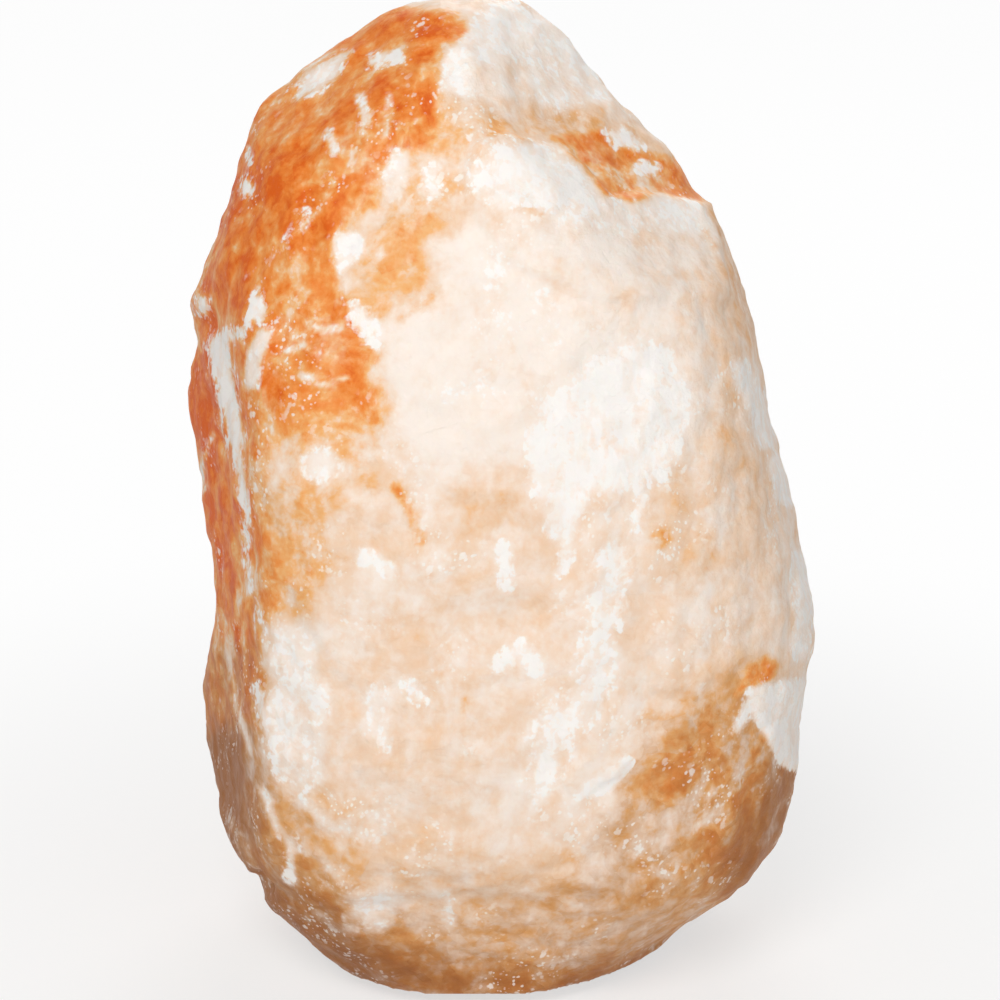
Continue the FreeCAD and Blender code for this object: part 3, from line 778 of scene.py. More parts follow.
MARKINGS = (
    # Body of the front: pink and white, peach lower down, brown and painted shade towards the foot and along
    # the lower edges
    mark(Tone.BLUSH, ((180, 0), (820, 0), (820, 1000), (180, 1000)), soft=8),
    mark(Tone.MIST, ((395, 250), (470, 215), (560, 225), (690, 240), (735, 330), (690, 470), (600, 500),
        (520, 470), (440, 480), (385, 440), (378, 340)), soft=50, strength=0.8),
    mark(Tone.PEACH, ((640, 250), (730, 260), (790, 480), (790, 620), (700, 650), (640, 560)), soft=70,
        strength=0.5),
    mark(Tone.PEACH, ((330, 480), (420, 490), (560, 540), (570, 640), (540, 720), (430, 830), (330, 800),
        (285, 620)), soft=60, strength=0.15),
    mark(Tone.MIST, ((570, 490), (690, 480), (700, 570), (620, 600), (560, 570)), soft=60, strength=0.4),
    mark(Tone.MIST, ((430, 580), (510, 580), (540, 640), (500, 760), (430, 720)), soft=60, strength=0.35),
    mark(Tone.MIST, ((450, 810), (540, 820), (560, 890), (470, 890)), soft=50, strength=0.45),
    mark(Tone.SAND, ((700, 690), (745, 665), (790, 700), (800, 790), (780, 850), (720, 905), (640, 955),
        (570, 990), (560, 900), (600, 800), (640, 740)), soft=50, strength=0.9),
    mark(Tone.HONEY, ((690, 700), (790, 720), (795, 830), (740, 890), (680, 850), (640, 790), (660, 730)),
        soft=60, strength=0.8),
    # Painted shade in brown along the lower right edge.
    mark(Tone.UMBER_SHADE, ((768, 770), (812, 700), (812, 850), (740, 915), (700, 930), (728, 850)), soft=36,
        strength=0.75),
    mark(Tone.SAND, ((690, 140), (760, 240), (790, 380), (742, 340), (716, 250), (700, 205)), soft=30,
        strength=0.8),
    # Painted shade in brown down the lower left edge and under the foot.
    mark(Tone.UMBER_SHADE, ((190, 640), (240, 660), (256, 760), (262, 850), (300, 905), (370, 960), (330, 1000),
        (180, 900)), soft=44),
    # Tan with painted shade along the bottom, where the block turns under.
    mark(Tone.SAND, ((270, 860), (330, 900), (420, 893), (620, 888), (700, 900), (650, 965), (540, 1000),
        (400, 1000), (300, 960)), soft=80, strength=0.8),
    # Painted shade in brown under the lower left, where the block turns under.
    mark(Tone.UMBER_SHADE, ((262, 780), (318, 800), (350, 870), (372, 920), (440, 965), (400, 1000), (250, 940)),
        soft=60, strength=0.5),
    # Painted shade in brown along the bottom edge.
    mark(Tone.UMBER_SHADE, ((330, 940), (420, 962), (540, 970), (640, 950), (700, 920), (700, 1000), (330, 1000)),
        soft=40, strength=0.7),
    mark(Tone.PEACH, ((285, 790), (400, 800), (520, 850), (480, 900), (330, 880), (275, 860)), soft=50,
        strength=0.4),
    # Crown, upper right
    mark(Tone.PEACH, ((437, 100), (500, 98), (560, 112), (605, 105), (640, 130), (560, 132), (490, 130),
        (445, 125)), soft=16, strength=0.8),
    mark(Tone.MILK, ((455, 40), (480, 10), (505, 0), (540, 8), (580, 40), (612, 100), (560, 112), (500, 96),
        (438, 94), (436, 80), (443, 55)), soft=20, strength=0.85),
    mark(Tone.BLUSH, ((470, 70), (520, 52), (590, 80), (600, 104), (540, 104), (480, 92)), soft=26,
        strength=0.7),
    mark(Tone.SAND, ((480, 104), (600, 112), (680, 160), (705, 205), (640, 200), (590, 170), (540, 140),
        (490, 128)), soft=24, strength=0.6),
    mark(Tone.ORANGE, ((552, 138), (605, 130), (634, 150), (676, 160), (700, 185), (700, 203), (660, 193),
        (632, 203), (605, 196), (585, 168), (566, 150)), soft=9, strength=0.95),
    mark(Tone.HONEY, ((598, 142), (634, 154), (676, 164), (702, 192), (660, 192), (606, 192)), soft=16,
        strength=0.45),
    mark(Tone.PEARL, ((470, 145), (500, 136), (545, 146), (580, 168), (606, 196), (632, 204), (660, 196),
        (705, 206), (716, 236), (650, 228), (592, 240), (548, 214), (500, 208), (462, 182)), soft=22),
    mark(Tone.SNOW, ((474, 150), (504, 140), (545, 150), (576, 172), (592, 200), (552, 204), (500, 200),
        (468, 180)), soft=22, strength=0.9),
    mark(Tone.MILK, ((606, 204), (640, 212), (690, 212)), 10, 22, 0.9),
    mark(Tone.SNOW, ((606, 132), (624, 130), (642, 148), (618, 147)), soft=5),
    mark(Tone.SNOW, ((641, 168), (654, 170)), 7, 4),
    mark(Tone.APRICOT, ((706, 232), (714, 244)), 10, 8),
    mark(Tone.APRICOT, ((522, 208), (540, 212)), 9, 8, 0.8),
    mark(Tone.PEARL, ((490, 262), (498, 310)), 20, 18),
    mark(Tone.SNOW, ((545, 300), (548, 342)), 14, 12, 0.6),
    # Orange, upper left
    mark(Tone.APRICOT, ((400, 130), (470, 100), (520, 130), (470, 180), (430, 250), (440, 300), (370, 330),
        (340, 260)), soft=44, strength=0.62),
    mark(Tone.APRICOT, ((240, 440), (300, 430), (340, 440), (345, 500), (310, 590), (280, 620), (250, 600)),
        soft=50, strength=0.6),
    mark(Tone.APRICOT, ((240, 360), (376, 350), (384, 430), (366, 462), (318, 440), (270, 452)), soft=40,
        strength=0.9),
    mark(Tone.ORANGE, ((250, 360), (372, 350), (374, 412), (350, 424), (322, 400), (290, 414), (256, 420)),
        soft=40, strength=0.7),
    mark(Tone.ORANGE, ((385, 5), (455, 14), (470, 28), (441, 55), (437, 95), (440, 130), (415, 152),
        (385, 165), (375, 205), (345, 225), (338, 270), (352, 310), (378, 345), (372, 395), (374, 420),
        (352, 396), (318, 386), (286, 392), (258, 420), (246, 450), (254, 500), (258, 545), (250, 600),
        (225, 650), (190, 560), (170, 400), (175, 300), (230, 150), (250, 80), (330, 30)), soft=14),
    mark(Tone.EMBER, ((262, 130), (330, 110), (350, 140), (330, 200), (310, 215), (285, 250), (245, 275),
        (225, 225)), soft=50, strength=0.75),
    mark(Tone.EMBER, ((360, 38), (400, 12), (455, 17), (464, 30), (420, 48)), soft=14, strength=0.7),
    mark(Tone.EMBER, ((180, 330), (212, 340), (225, 480), (245, 600), (230, 650), (200, 560)), soft=16),
    mark(Tone.HONEY, ((195, 580), (268, 590), (262, 700), (200, 730)), soft=30),
    mark(Tone.APRICOT, ((300, 70), (350, 66), (360, 100), (300, 120), (270, 160), (262, 130)), soft=30,
        strength=0.6),
    mark(Tone.APRICOT, ((298, 105), (376, 100), (372, 205), (330, 212), (300, 190)), soft=34, strength=0.6),
    mark(Tone.ORANGE, ((205, 590), (256, 590), (256, 725), (212, 735)), soft=24, strength=0.6),
    # Painted shade in brown on the lower left edge.
    mark(Tone.UMBER_SHADE, ((205, 640), (250, 650), (254, 735), (210, 745)), soft=30, strength=0.45),
    # White marks in the orange
    mark(Tone.MILK, ((246, 150), (252, 168)), 3, 6, 0.8),
    mark(Tone.MILK, ((352, 152), (348, 168)), 3, 6),
    mark(Tone.MILK, ((364, 112), (362, 134)), 3, 6),
    mark(Tone.MILK, ((330, 176), (336, 188)), 3, 6),
    mark(Tone.PEARL, ((300, 228), (318, 212)), 3, 6),
    mark(Tone.PEARL, ((308, 322), (322, 330), (340, 328)), 4, 8),
    mark(Tone.PEARL, ((284, 352), (302, 346), (318, 352)), 4, 8),
    mark(Tone.PEARL, ((300, 376), (322, 384), (348, 378)), 4, 8),
    mark(Tone.PEARL, ((390, 112), (386, 136)), 4, 8),
    mark(Tone.PEARL, ((412, 124), (424, 118)), 3, 8),
    mark(Tone.PEARL, ((305, 68), (345, 56), (344, 74), (326, 92), (298, 98), (297, 84)), soft=20,
        strength=0.7),
    mark(Tone.MILK, ((343, 58), (316, 74), (298, 97)), 6, 8),
    mark(Tone.MILK, ((338, 72), (322, 84), (308, 100)), 4, 8, 0.8),
    mark(Tone.SNOW, ((372, 62), (388, 56), (402, 60)), 9, 6, 0.9),
    mark(Tone.PEARL, ((352, 52), (330, 60), (318, 68)), 5, 5),
    mark(Tone.PEARL, ((361, 98), (368, 120)), 9, 8),
    mark(Tone.PEARL, ((388, 96), (398, 128)), 8, 8, 0.7),
    mark(Tone.MILK, ((330, 136), (334, 150)), 9, 7),
    mark(Tone.PEARL, ((390, 150), (412, 146), (412, 178), (400, 208), (384, 205), (382, 170)), soft=20,
        strength=0.75),
    mark(Tone.MILK, ((392, 156), (386, 180), (390, 200)), 4, 8, 0.9),
    mark(Tone.SNOW, ((430, 172), (438, 196)), 13, 20, 0.75),
    mark(Tone.SNOW, ((258, 292), (268, 311), (262, 323), (248, 318), (250, 302)), soft=5),
    mark(Tone.MILK, ((331, 240), (338, 224), (342, 234), (354, 232), (361, 244), (357, 262), (343, 268),
        (332, 256)), soft=9, strength=0.9),
    mark(Tone.PEARL, ((381, 250), (381, 256)), 9, 8, 0.8),
    mark(Tone.PEARL, ((342, 266), (344, 284), (350, 304)), 4, 8),
    mark(Tone.SNOW, ((347, 300), (364, 309), (374, 326), (378, 346), (364, 338), (352, 322)), soft=8,
        strength=0.95),
    mark(Tone.SNOW, ((306, 213), (286, 245)), 3.5, 3, 0.8),
    mark(Tone.MILK, ((286, 245), (246, 276)), 3, 4, 0.5),
    mark(Tone.SNOW, ((201, 300), (203, 310)), 10, 6),
    mark(Tone.SNOW, ((246, 184), (246, 190)), 8, 5),
    mark(Tone.SNOW, ((240, 333), (222, 340)), 13, 6, 0.8),
    mark(Tone.SNOW, ((216, 345), (227, 390), (237, 440)), 15, 5),
    mark(Tone.SNOW, ((234, 436), (242, 475), (249, 522)), 8, 5),
    mark(Tone.SNOW, ((248, 520), (247, 560), (262, 640)), 2, 6, 0.7),
    mark(Tone.PEARL, ((262, 336), (252, 360), (250, 384)), 14, 12),
    mark(Tone.MILK, ((270, 332), (260, 358), (252, 384)), 3, 7),
    mark(Tone.PEARL, ((213, 435), (201, 465), (204, 490)), 8, 8, 0.8),
    mark(Tone.PEARL, ((296, 420), (308, 414), (318, 424)), 7, 9, 0.7),
    mark(Tone.APRICOT, ((352, 440), (360, 470), (372, 490)), 14, 14, 0.6),
    mark(Tone.MILK, ((302, 452), (330, 446), (345, 462), (330, 480), (306, 482)), soft=24, strength=0.85),
    mark(Tone.ORANGE, ((254, 440), (258, 500), (264, 560), (270, 600)), 18, 18, 0.8),
    mark(Tone.APRICOT, ((300, 500), (310, 560), (300, 600)), 26, 26, 0.5),
    mark(Tone.ORANGE, ((395, 486), (408, 505), (420, 540)), 9, 8, 0.7),
    mark(Tone.APRICOT, ((400, 316), (424, 308), (438, 290)), 8, 8, 0.7),
    mark(Tone.APRICOT, ((418, 262), (424, 282)), 12, 10, 0.6),
    # Middle and right
    mark(Tone.SNOW, ((538, 412), (600, 360), (650, 345), (684, 395), (681, 430), (665, 475), (630, 482),
        (590, 496), (566, 552), (547, 530), (530, 475)), soft=22),
    mark(Tone.SNOW, ((606, 350), (602, 392)), 7, 6),
    mark(Tone.SNOW, ((636, 340), (640, 372)), 8, 6),
    mark(Tone.SNOW, ((664, 352), (672, 398), (668, 448)), 9, 6),
    mark(Tone.SNOW, ((634, 452), (642, 494), (636, 524)), 8, 6, 0.9),
    mark(Tone.SNOW, ((566, 504), (570, 546), (562, 570)), 9, 6),
    mark(Tone.SNOW, ((546, 404), (534, 440), (536, 470)), 8, 6, 0.8),
    mark(Tone.PEARL, ((614, 556), (602, 620), (590, 700)), 46, 50, 0.7),
    mark(Tone.SNOW, ((612, 566), (602, 620), (592, 680)), 18, 30, 0.85),
    mark(Tone.PEARL, ((590, 690), (548, 742), (536, 785)), 50, 50, 0.7),
    mark(Tone.SNOW, ((588, 694), (556, 732), (546, 770)), 20, 34, 0.8),
    mark(Tone.SNOW, ((573, 799), (584, 784), (606, 770), (618, 766), (627, 754), (634, 758), (630, 770),
        (612, 790), (592, 796)), soft=7, strength=0.9, crisp=True),
    mark(Tone.PEACH, ((450, 487), (515, 491), (550, 548), (530, 562), (490, 545), (458, 520)), soft=8,
        strength=0.6),
    # The next two small white marks are painted glints.
    mark(Tone.SNOW, ((503, 548), (506, 584)), 9, 5),
    mark(Tone.SNOW, ((500, 664), (520, 648), (536, 668)), 12, 6, 0.9),
    mark(Tone.SNOW, ((408, 684), (420, 698)), 12, 8, 0.8),
    mark(Tone.MILK, ((362, 556), (392, 570)), 16, 14, 0.8),
    mark(Tone.PEARL, ((366, 680), (390, 690), (388, 756), (362, 740)), soft=24),
    mark(Tone.MILK, ((378, 684), (374, 716), (382, 748)), 5, 8, 0.9),
    mark(Tone.APRICOT, ((652, 536), (660, 530), (668, 540), (660, 548)), 6, 6, 0.7),
    mark(Tone.ORANGE, ((466, 702), (467, 708)), 6, 5, 0.8),
    mark(Tone.PEARL, ((440, 400), (470, 385), (490, 400)), 30, 26, 0.6),
    mark(Tone.MILK, ((738, 370), (756, 400), (764, 440)), 20, 10),
    mark(Tone.MILK, ((776, 462), (786, 498)), 16, 10),
    mark(Tone.MILK, ((800, 562), (806, 610), (800, 650)), 18, 10),
    mark(Tone.ORANGE, ((736, 694), (748, 668), (768, 655), (780, 664), (768, 686)), soft=8, strength=0.75),
    mark(Tone.MILK, ((746, 690), (766, 682), (806, 678), (806, 750), (796, 772), (780, 765), (765, 735),
        (752, 712)), soft=9, crisp=True),
    mark(Tone.MILK, ((750, 700), (736, 728)), 9, 6),
    # Lower left and the foot
    mark(Tone.PEARL, ((276, 630), (304, 622), (330, 700), (322, 780), (292, 790), (270, 740)), soft=40),
    mark(Tone.MILK, ((288, 630), (296, 672), (318, 706)), 14, 14, 0.9),
    mark(Tone.MILK, ((276, 700), (284, 744), (302, 780)), 12, 12, 0.9),
    mark(Tone.SNOW, ((258, 690), (266, 728), (282, 772)), 8, 8, 0.9),
    mark(Tone.PEARL, ((228, 640), (236, 700), (250, 752)), 7, 10, 0.8),
    mark(Tone.PEARL, ((300, 800), (330, 826), (372, 838)), 16, 18, 0.6),
    mark(Tone.PEARL, ((262, 790), (276, 826), (298, 850)), 12, 20, 0.8),
    mark(Tone.PEARL, ((318, 850), (338, 880)), 14, 24, 0.7),
    mark(Tone.PEARL, ((430, 858), (470, 866), (510, 860)), 10, 24, 0.6),
    mark(Tone.PEARL, ((690, 838), (706, 812), (712, 786)), 7, 14, 0.7),
    mark(Tone.PEARL, ((640, 872), (664, 862), (690, 866)), 6, 14, 0.6),
    mark(Tone.PEARL, ((222, 800), (240, 812), (262, 862), (268, 880), (240, 870), (224, 840)), soft=14,
        strength=0.45),
    mark(Tone.MILK, ((290, 842), (291, 878)), 12, 8, 0.8),
    mark(Tone.MILK, ((448, 892), (449, 918)), 11, 8, 0.7),
    mark(Tone.PEARL, ((335, 886), (396, 884), (404, 922), (370, 940), (338, 926)), soft=44, strength=0.65),
)

FORMS = (
    # Crown: the peak, the lower hump to its left and the notch between them
    Form(0.9, Trace(((480, 20), (510, 4), (540, 20), (560, 60), (500, 80), (460, 50)), soft=40)),
    Form(0.9, Trace(((395, 16), (440, 14)), 24, 30)),
    Form(-1.2, Trace(((456, 8), (458, 26)), 8, 22)),
    # Ledge along the top of the white band, upper right, with the hollow above it
    Form(1.3, Trace(((462, 180), (474, 146), (500, 136), (545, 144), (582, 166), (608, 198), (660, 194),
        (708, 206), (730, 300), (600, 300), (500, 260)), soft=11)),
    Form(-0.9, Trace(((500, 118), (560, 122), (600, 140), (640, 176), (690, 186)), 26, 26)),
    # Long vein down the left side, and the bumps of the left edge
    Form(0.8, Trace(((214, 340), (226, 392), (236, 440), (249, 522)), 15, 12)),
    Form(1.5, Trace(((198, 292), (204, 304)), 20, 22)),
    Form(1.2, Trace(((192, 395), (192, 425)), 18, 22)),
    Form(-1.1, Trace(((198, 340), (198, 355)), 12, 22)),
    Form(-0.9, Trace(((206, 460), (208, 475)), 12, 22)),
    Form(1.1, Trace(((255, 95), (270, 80)), 16, 30)),
    # Lower left: the lobe and the notch under it
    Form(0.8, Trace(((222, 800), (240, 812), (258, 855), (240, 865), (220, 835)), soft=14)),
    Form(-2.6, Trace(((258, 876), (268, 888)), 9, 12)),
    # Right edge
    Form(0.9, Trace(((806, 600), (808, 640)), 24, 30)),
    Form(-0.7, Trace(((800, 540), (802, 552)), 12, 26)),
    Form(0.7, Trace(((748, 690), (770, 680), (806, 680), (806, 750), (792, 772), (766, 740)), soft=10)),
    # Foot: the block turns under below a soft ridge
    Form(-0.9, Trace(((285, 893), (330, 902), (420, 895), (620, 890), (720, 900), (690, 960), (540, 1030),
        (380, 1030), (290, 950)), soft=22)),
    # Broad planes of the front
    Form(-0.8, Trace(((600, 240), (660, 480), (660, 700)), 50, 90)),
    Form(-0.8, Trace(((450, 500), (510, 502), (560, 566), (540, 640), (450, 640)), soft=26)),
    Form(0.7, Trace(((575, 796), (600, 786), (631, 757), (600, 740), (560, 770)), soft=9)),
    Form(-0.7, Trace(((285, 560), (300, 700), (292, 800)), 30, 50)),
)


@dataclass(frozen=True)
class Ripple:
    """Slow noise over the crystal: its strength, its waves in a metre each way, and its shift."""

    strength: float
    waves: Place
    shift: Place = (0.0, 0.0, 0.0)

    def at(self, place: Vector) -> float:
        """Its value at a point, from about minus the strength to the strength."""
        spot = Vector([part * waves for part, waves in zip(place, self.waves)])
        return self.strength * noise.noise(spot + Vector(self.shift))


@dataclass
class SaltCrystal:
    """The hewn block of salt, its ledges and hollows, and its stains."""

    finish: RockSalt = RockSalt()
    cell: float = 1.35 * MM
    weld: float = 0.001 * MM
    rounding_passes: int = 44
    rounding: float = 0.5
    bore_reach: float = 27.6 * MM
    bore_top: float = 145.5 * MM
    underside: float = 4.4 * MM
    groove_half: float = 6.6 * MM
    groove_top: float = 14.6 * MM
    hole_circle: float = 33.4 * MM
    hole_reach: float = 4.4 * MM
    hole_top: float = 24.0 * MM
    fade: float = 3.0 * MM
    swelling: float = 0.55 * MM
    half_width: float = 79.0 * MM
    ripples: tuple[Ripple, ...] = (
        Ripple(0.85, (34.0,) * 3),
        Ripple(0.75, (75.0,) * 3, (7.0, 3.0, 1.0)),
        Ripple(0.70, (160.0,) * 3),
        Ripple(0.30, (330.0,) * 3),
    )
    wide: Ripple = Ripple(1.0, (17.0,) * 3, (3.1, 0.0, 5.0))
    bands: Ripple = Ripple(1.0, (30.0, 30.0, 14.0))
    spots: Ripple = Ripple(1.0, (52.0,) * 3, (0.0, 9.0, 2.0))
    plain_tones: tuple[float, float] = (0.32, 0.32)
    least_tones: tuple[float, ...] = (0.05, 0.0, 0.0, 0.0)
    most_tones: tuple[float, ...] = (0.92, 0.9, 0.7, 0.9)

    def build(self, view: FrontView) -> bpy.types.Object:
        """Makes the crystal.

        Args:
            view: View that the markings are placed in.

        Returns:
            The crystal.
        """
        mesh = self.fine_copy()
        self.weather(mesh, view)
        self.stain(mesh, view)
        mesh.materials.clear()
        mesh.materials.append(self.finish.material())
        piece = add_object("hewn_crystal", mesh)
        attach(piece, "crystal")
        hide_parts("salt_crystal")
        return piece

    def fine_copy(self) -> bpy.types.Mesh:
        """Copies the solid as a fine, even net of faces.

        Returns:
            The net.
        """
        work = bmesh.new()
        work.from_mesh(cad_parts["salt_crystal"].data)
        bmesh.ops.remove_doubles(work, verts=work.verts, dist=self.weld)
        rough = bpy.data.meshes.new("rough_crystal")
        work.to_mesh(rough)
        work.free()
        block = add_object("rough_crystal", rough)
        remesh = block.modifiers.new("net", "REMESH")
        remesh.mode = "VOXEL"
        remesh.voxel_size = self.cell
        graph = bpy.context.evaluated_depsgraph_get()
        fine = bpy.data.meshes.new_from_object(block.evaluated_get(graph), depsgraph=graph)
        bpy.data.objects.remove(block)
        fine.name = "hewn_crystal"
        return fine

    def freedom(self, points: np.ndarray) -> np.ndarray:
        """How free points are to move: not at all in the bore, the holes and the groove or underneath.

        Args:
            points: One point in each row.

        Returns:
            0 to 1 for each.
        """
        x, y, height = points.T
        near = self.hole_circle * math.sqrt(0.5)
        to_hole = np.hypot(np.abs(x) - near, np.abs(y) - near)
        away = np.minimum.reduce([
            height - self.underside,
            np.maximum(np.hypot(x, y) - self.bore_reach, height - self.bore_top),
            np.maximum.reduce([np.abs(x) - self.groove_half, -y, height - self.groove_top]),
            np.maximum(to_hole - self.hole_reach, height - self.hole_top),
        ])
        return ease(away, 0.0, self.fade)

    def weather(self, mesh: bpy.types.Mesh, view: FrontView) -> None:
        """Rounds the facets, then gives the surface its ledges, dents and ripples.

        Args:
            mesh: The net to shape.
            view: View that the forms are placed in.
        """
        work = bmesh.new()
        work.from_mesh(mesh)
        free = self.freedom(np.array([vert.co for vert in work.verts]))
        outside = [vert for vert, share in zip(work.verts, free) if share > 0.5]
        for _ in range(self.rounding_passes):
            bmesh.ops.smooth_vert(
                work, verts=outside, factor=self.rounding, use_axis_x=True, use_axis_y=True, use_axis_z=True
            )
        work.normal_update()
        points = np.array([vert.co for vert in work.verts])
        normals = np.array([vert.normal for vert in work.verts])
        seen = view.seen_at(points)
        heights = np.zeros(len(points))
        for form in FORMS:
            heights += form.height * MM * ease(form.trace.share(seen), 0.0, 1.0)
        heights *= ease(view.facing(points, normals), -0.35, 0.05)
        for vert, share, height in zip(work.verts, free, heights):
            if share > 0.0:
                rippled = sum(ripple.at(vert.co) for ripple in self.ripples)
                vert.co += vert.normal * ((self.swelling + rippled * MM + height) * share)
        for face in work.faces:
            face.smooth = True
        work.to_mesh(mesh)
        work.free()

    def stain(self, mesh: bpy.types.Mesh, view: FrontView) -> None:
        """Stores how stained, hazy, browned by earth and painted shade, and crusted the salt is at each
        point.

        Args:
            mesh: The net.
            view: View that the markings are placed in.
        """
        points, normals = np.empty((2, len(mesh.vertices), 3))
        mesh.vertices.foreach_get("co", points.ravel())
        mesh.vertices.foreach_get("normal", normals.ravel())
        seen = view.seen_at(points)
        tones = self.natural_tones(points)
        painted = tones.copy()
        for marking in MARKINGS:
            tone = np.array(marking.tone.value)
            share = np.repeat(marking.trace.share(seen)[:, None], len(tone), axis=1)
            if marking.tone.white:
                share[:, :-1] = ease(share[:, :-1], 0.3, 0.8)
            painted = painted * (1 - share) + tone * share
        front = ease(view.facing(points, normals), -0.12, 0.12)[:, None]
        tones = tones * (1 - front) + painted * front
        layer = mesh.attributes.new(self.finish.attribute, "FLOAT_COLOR", "POINT")
        layer.data.foreach_set("color", tones.ravel())

    def natural_tones(self, points: np.ndarray) -> np.ndarray:
        """Tones of the sides and the back: orange to the left, pink and white elsewhere, browner and darker
        low down.

        Args:
            points: One point in each row.

        Returns:
            Stain, haze, brownness and crust for each.
        """
        paler_below, browner_below = 90.0 * MM, 80.0 * MM
        places = [Vector(point) for point in points]
        wide, bands, spots = (
            np.array([ripple.at(place) for place in places]) for ripple in (self.wide, self.bands, self.spots)
        )
        x, _, height = points.T
        left = np.maximum(-x / self.half_width + 0.4 * wide, -0.3) * np.where(height < paler_below, 0.6, 1.0)
        plain_stain, plain_haze = self.plain_tones
        stain = plain_stain + 0.36 * left + 0.55 * wide + 0.25 * bands
        haze = plain_haze + 0.6 * bands - 0.4 * np.maximum(stain - 0.4, 0.0)
        # Browner and darker towards the bottom.
        earth_and_shade = np.maximum(0.7 - height / browner_below, 0.0) * 0.8 + 0.2 * wide
        crust = 0.9 * spots + 0.5 * bands
        return np.clip(np.stack([stain, haze, earth_and_shade, crust], axis=1), self.least_tones, self.most_tones)


@dataclass(frozen=True)
class Thread:
    """A right-handed screw thread round the lamp's axis, in millimetres."""

    pitch: float
    depth: float
    low: float
    high: float
    run_in: float = 0.8
    run_out: float = 0.8
    rolled: bool = False

    def groove(self, place: Vector) -> float:
        """How far the surface lies below the crest of the thread.

        Args:
            place: Point of the surface.

        Returns:
            The depth.
        """
        phase = (place.z / self.pitch - math.atan2(place.y, place.x) / math.tau) % 1.0
        if self.rolled:
            share = 0.5 - 0.5 * math.cos(math.tau * phase)
        else:
            flank, root = 1.1, 1.5
            share = min(max(root - abs(4.0 * phase - 2.0) * flank, 0.0), 1.0)
        start = (place.z - self.low) / self.run_in
        end = (self.high - place.z) / self.run_out
        return self.depth * share * min(max(min(start, end), 0.0), 1.0)


CAP_THREAD = Thread(2.82, 0.5, 60.0, 76.0, run_out=1.0, rolled=True)


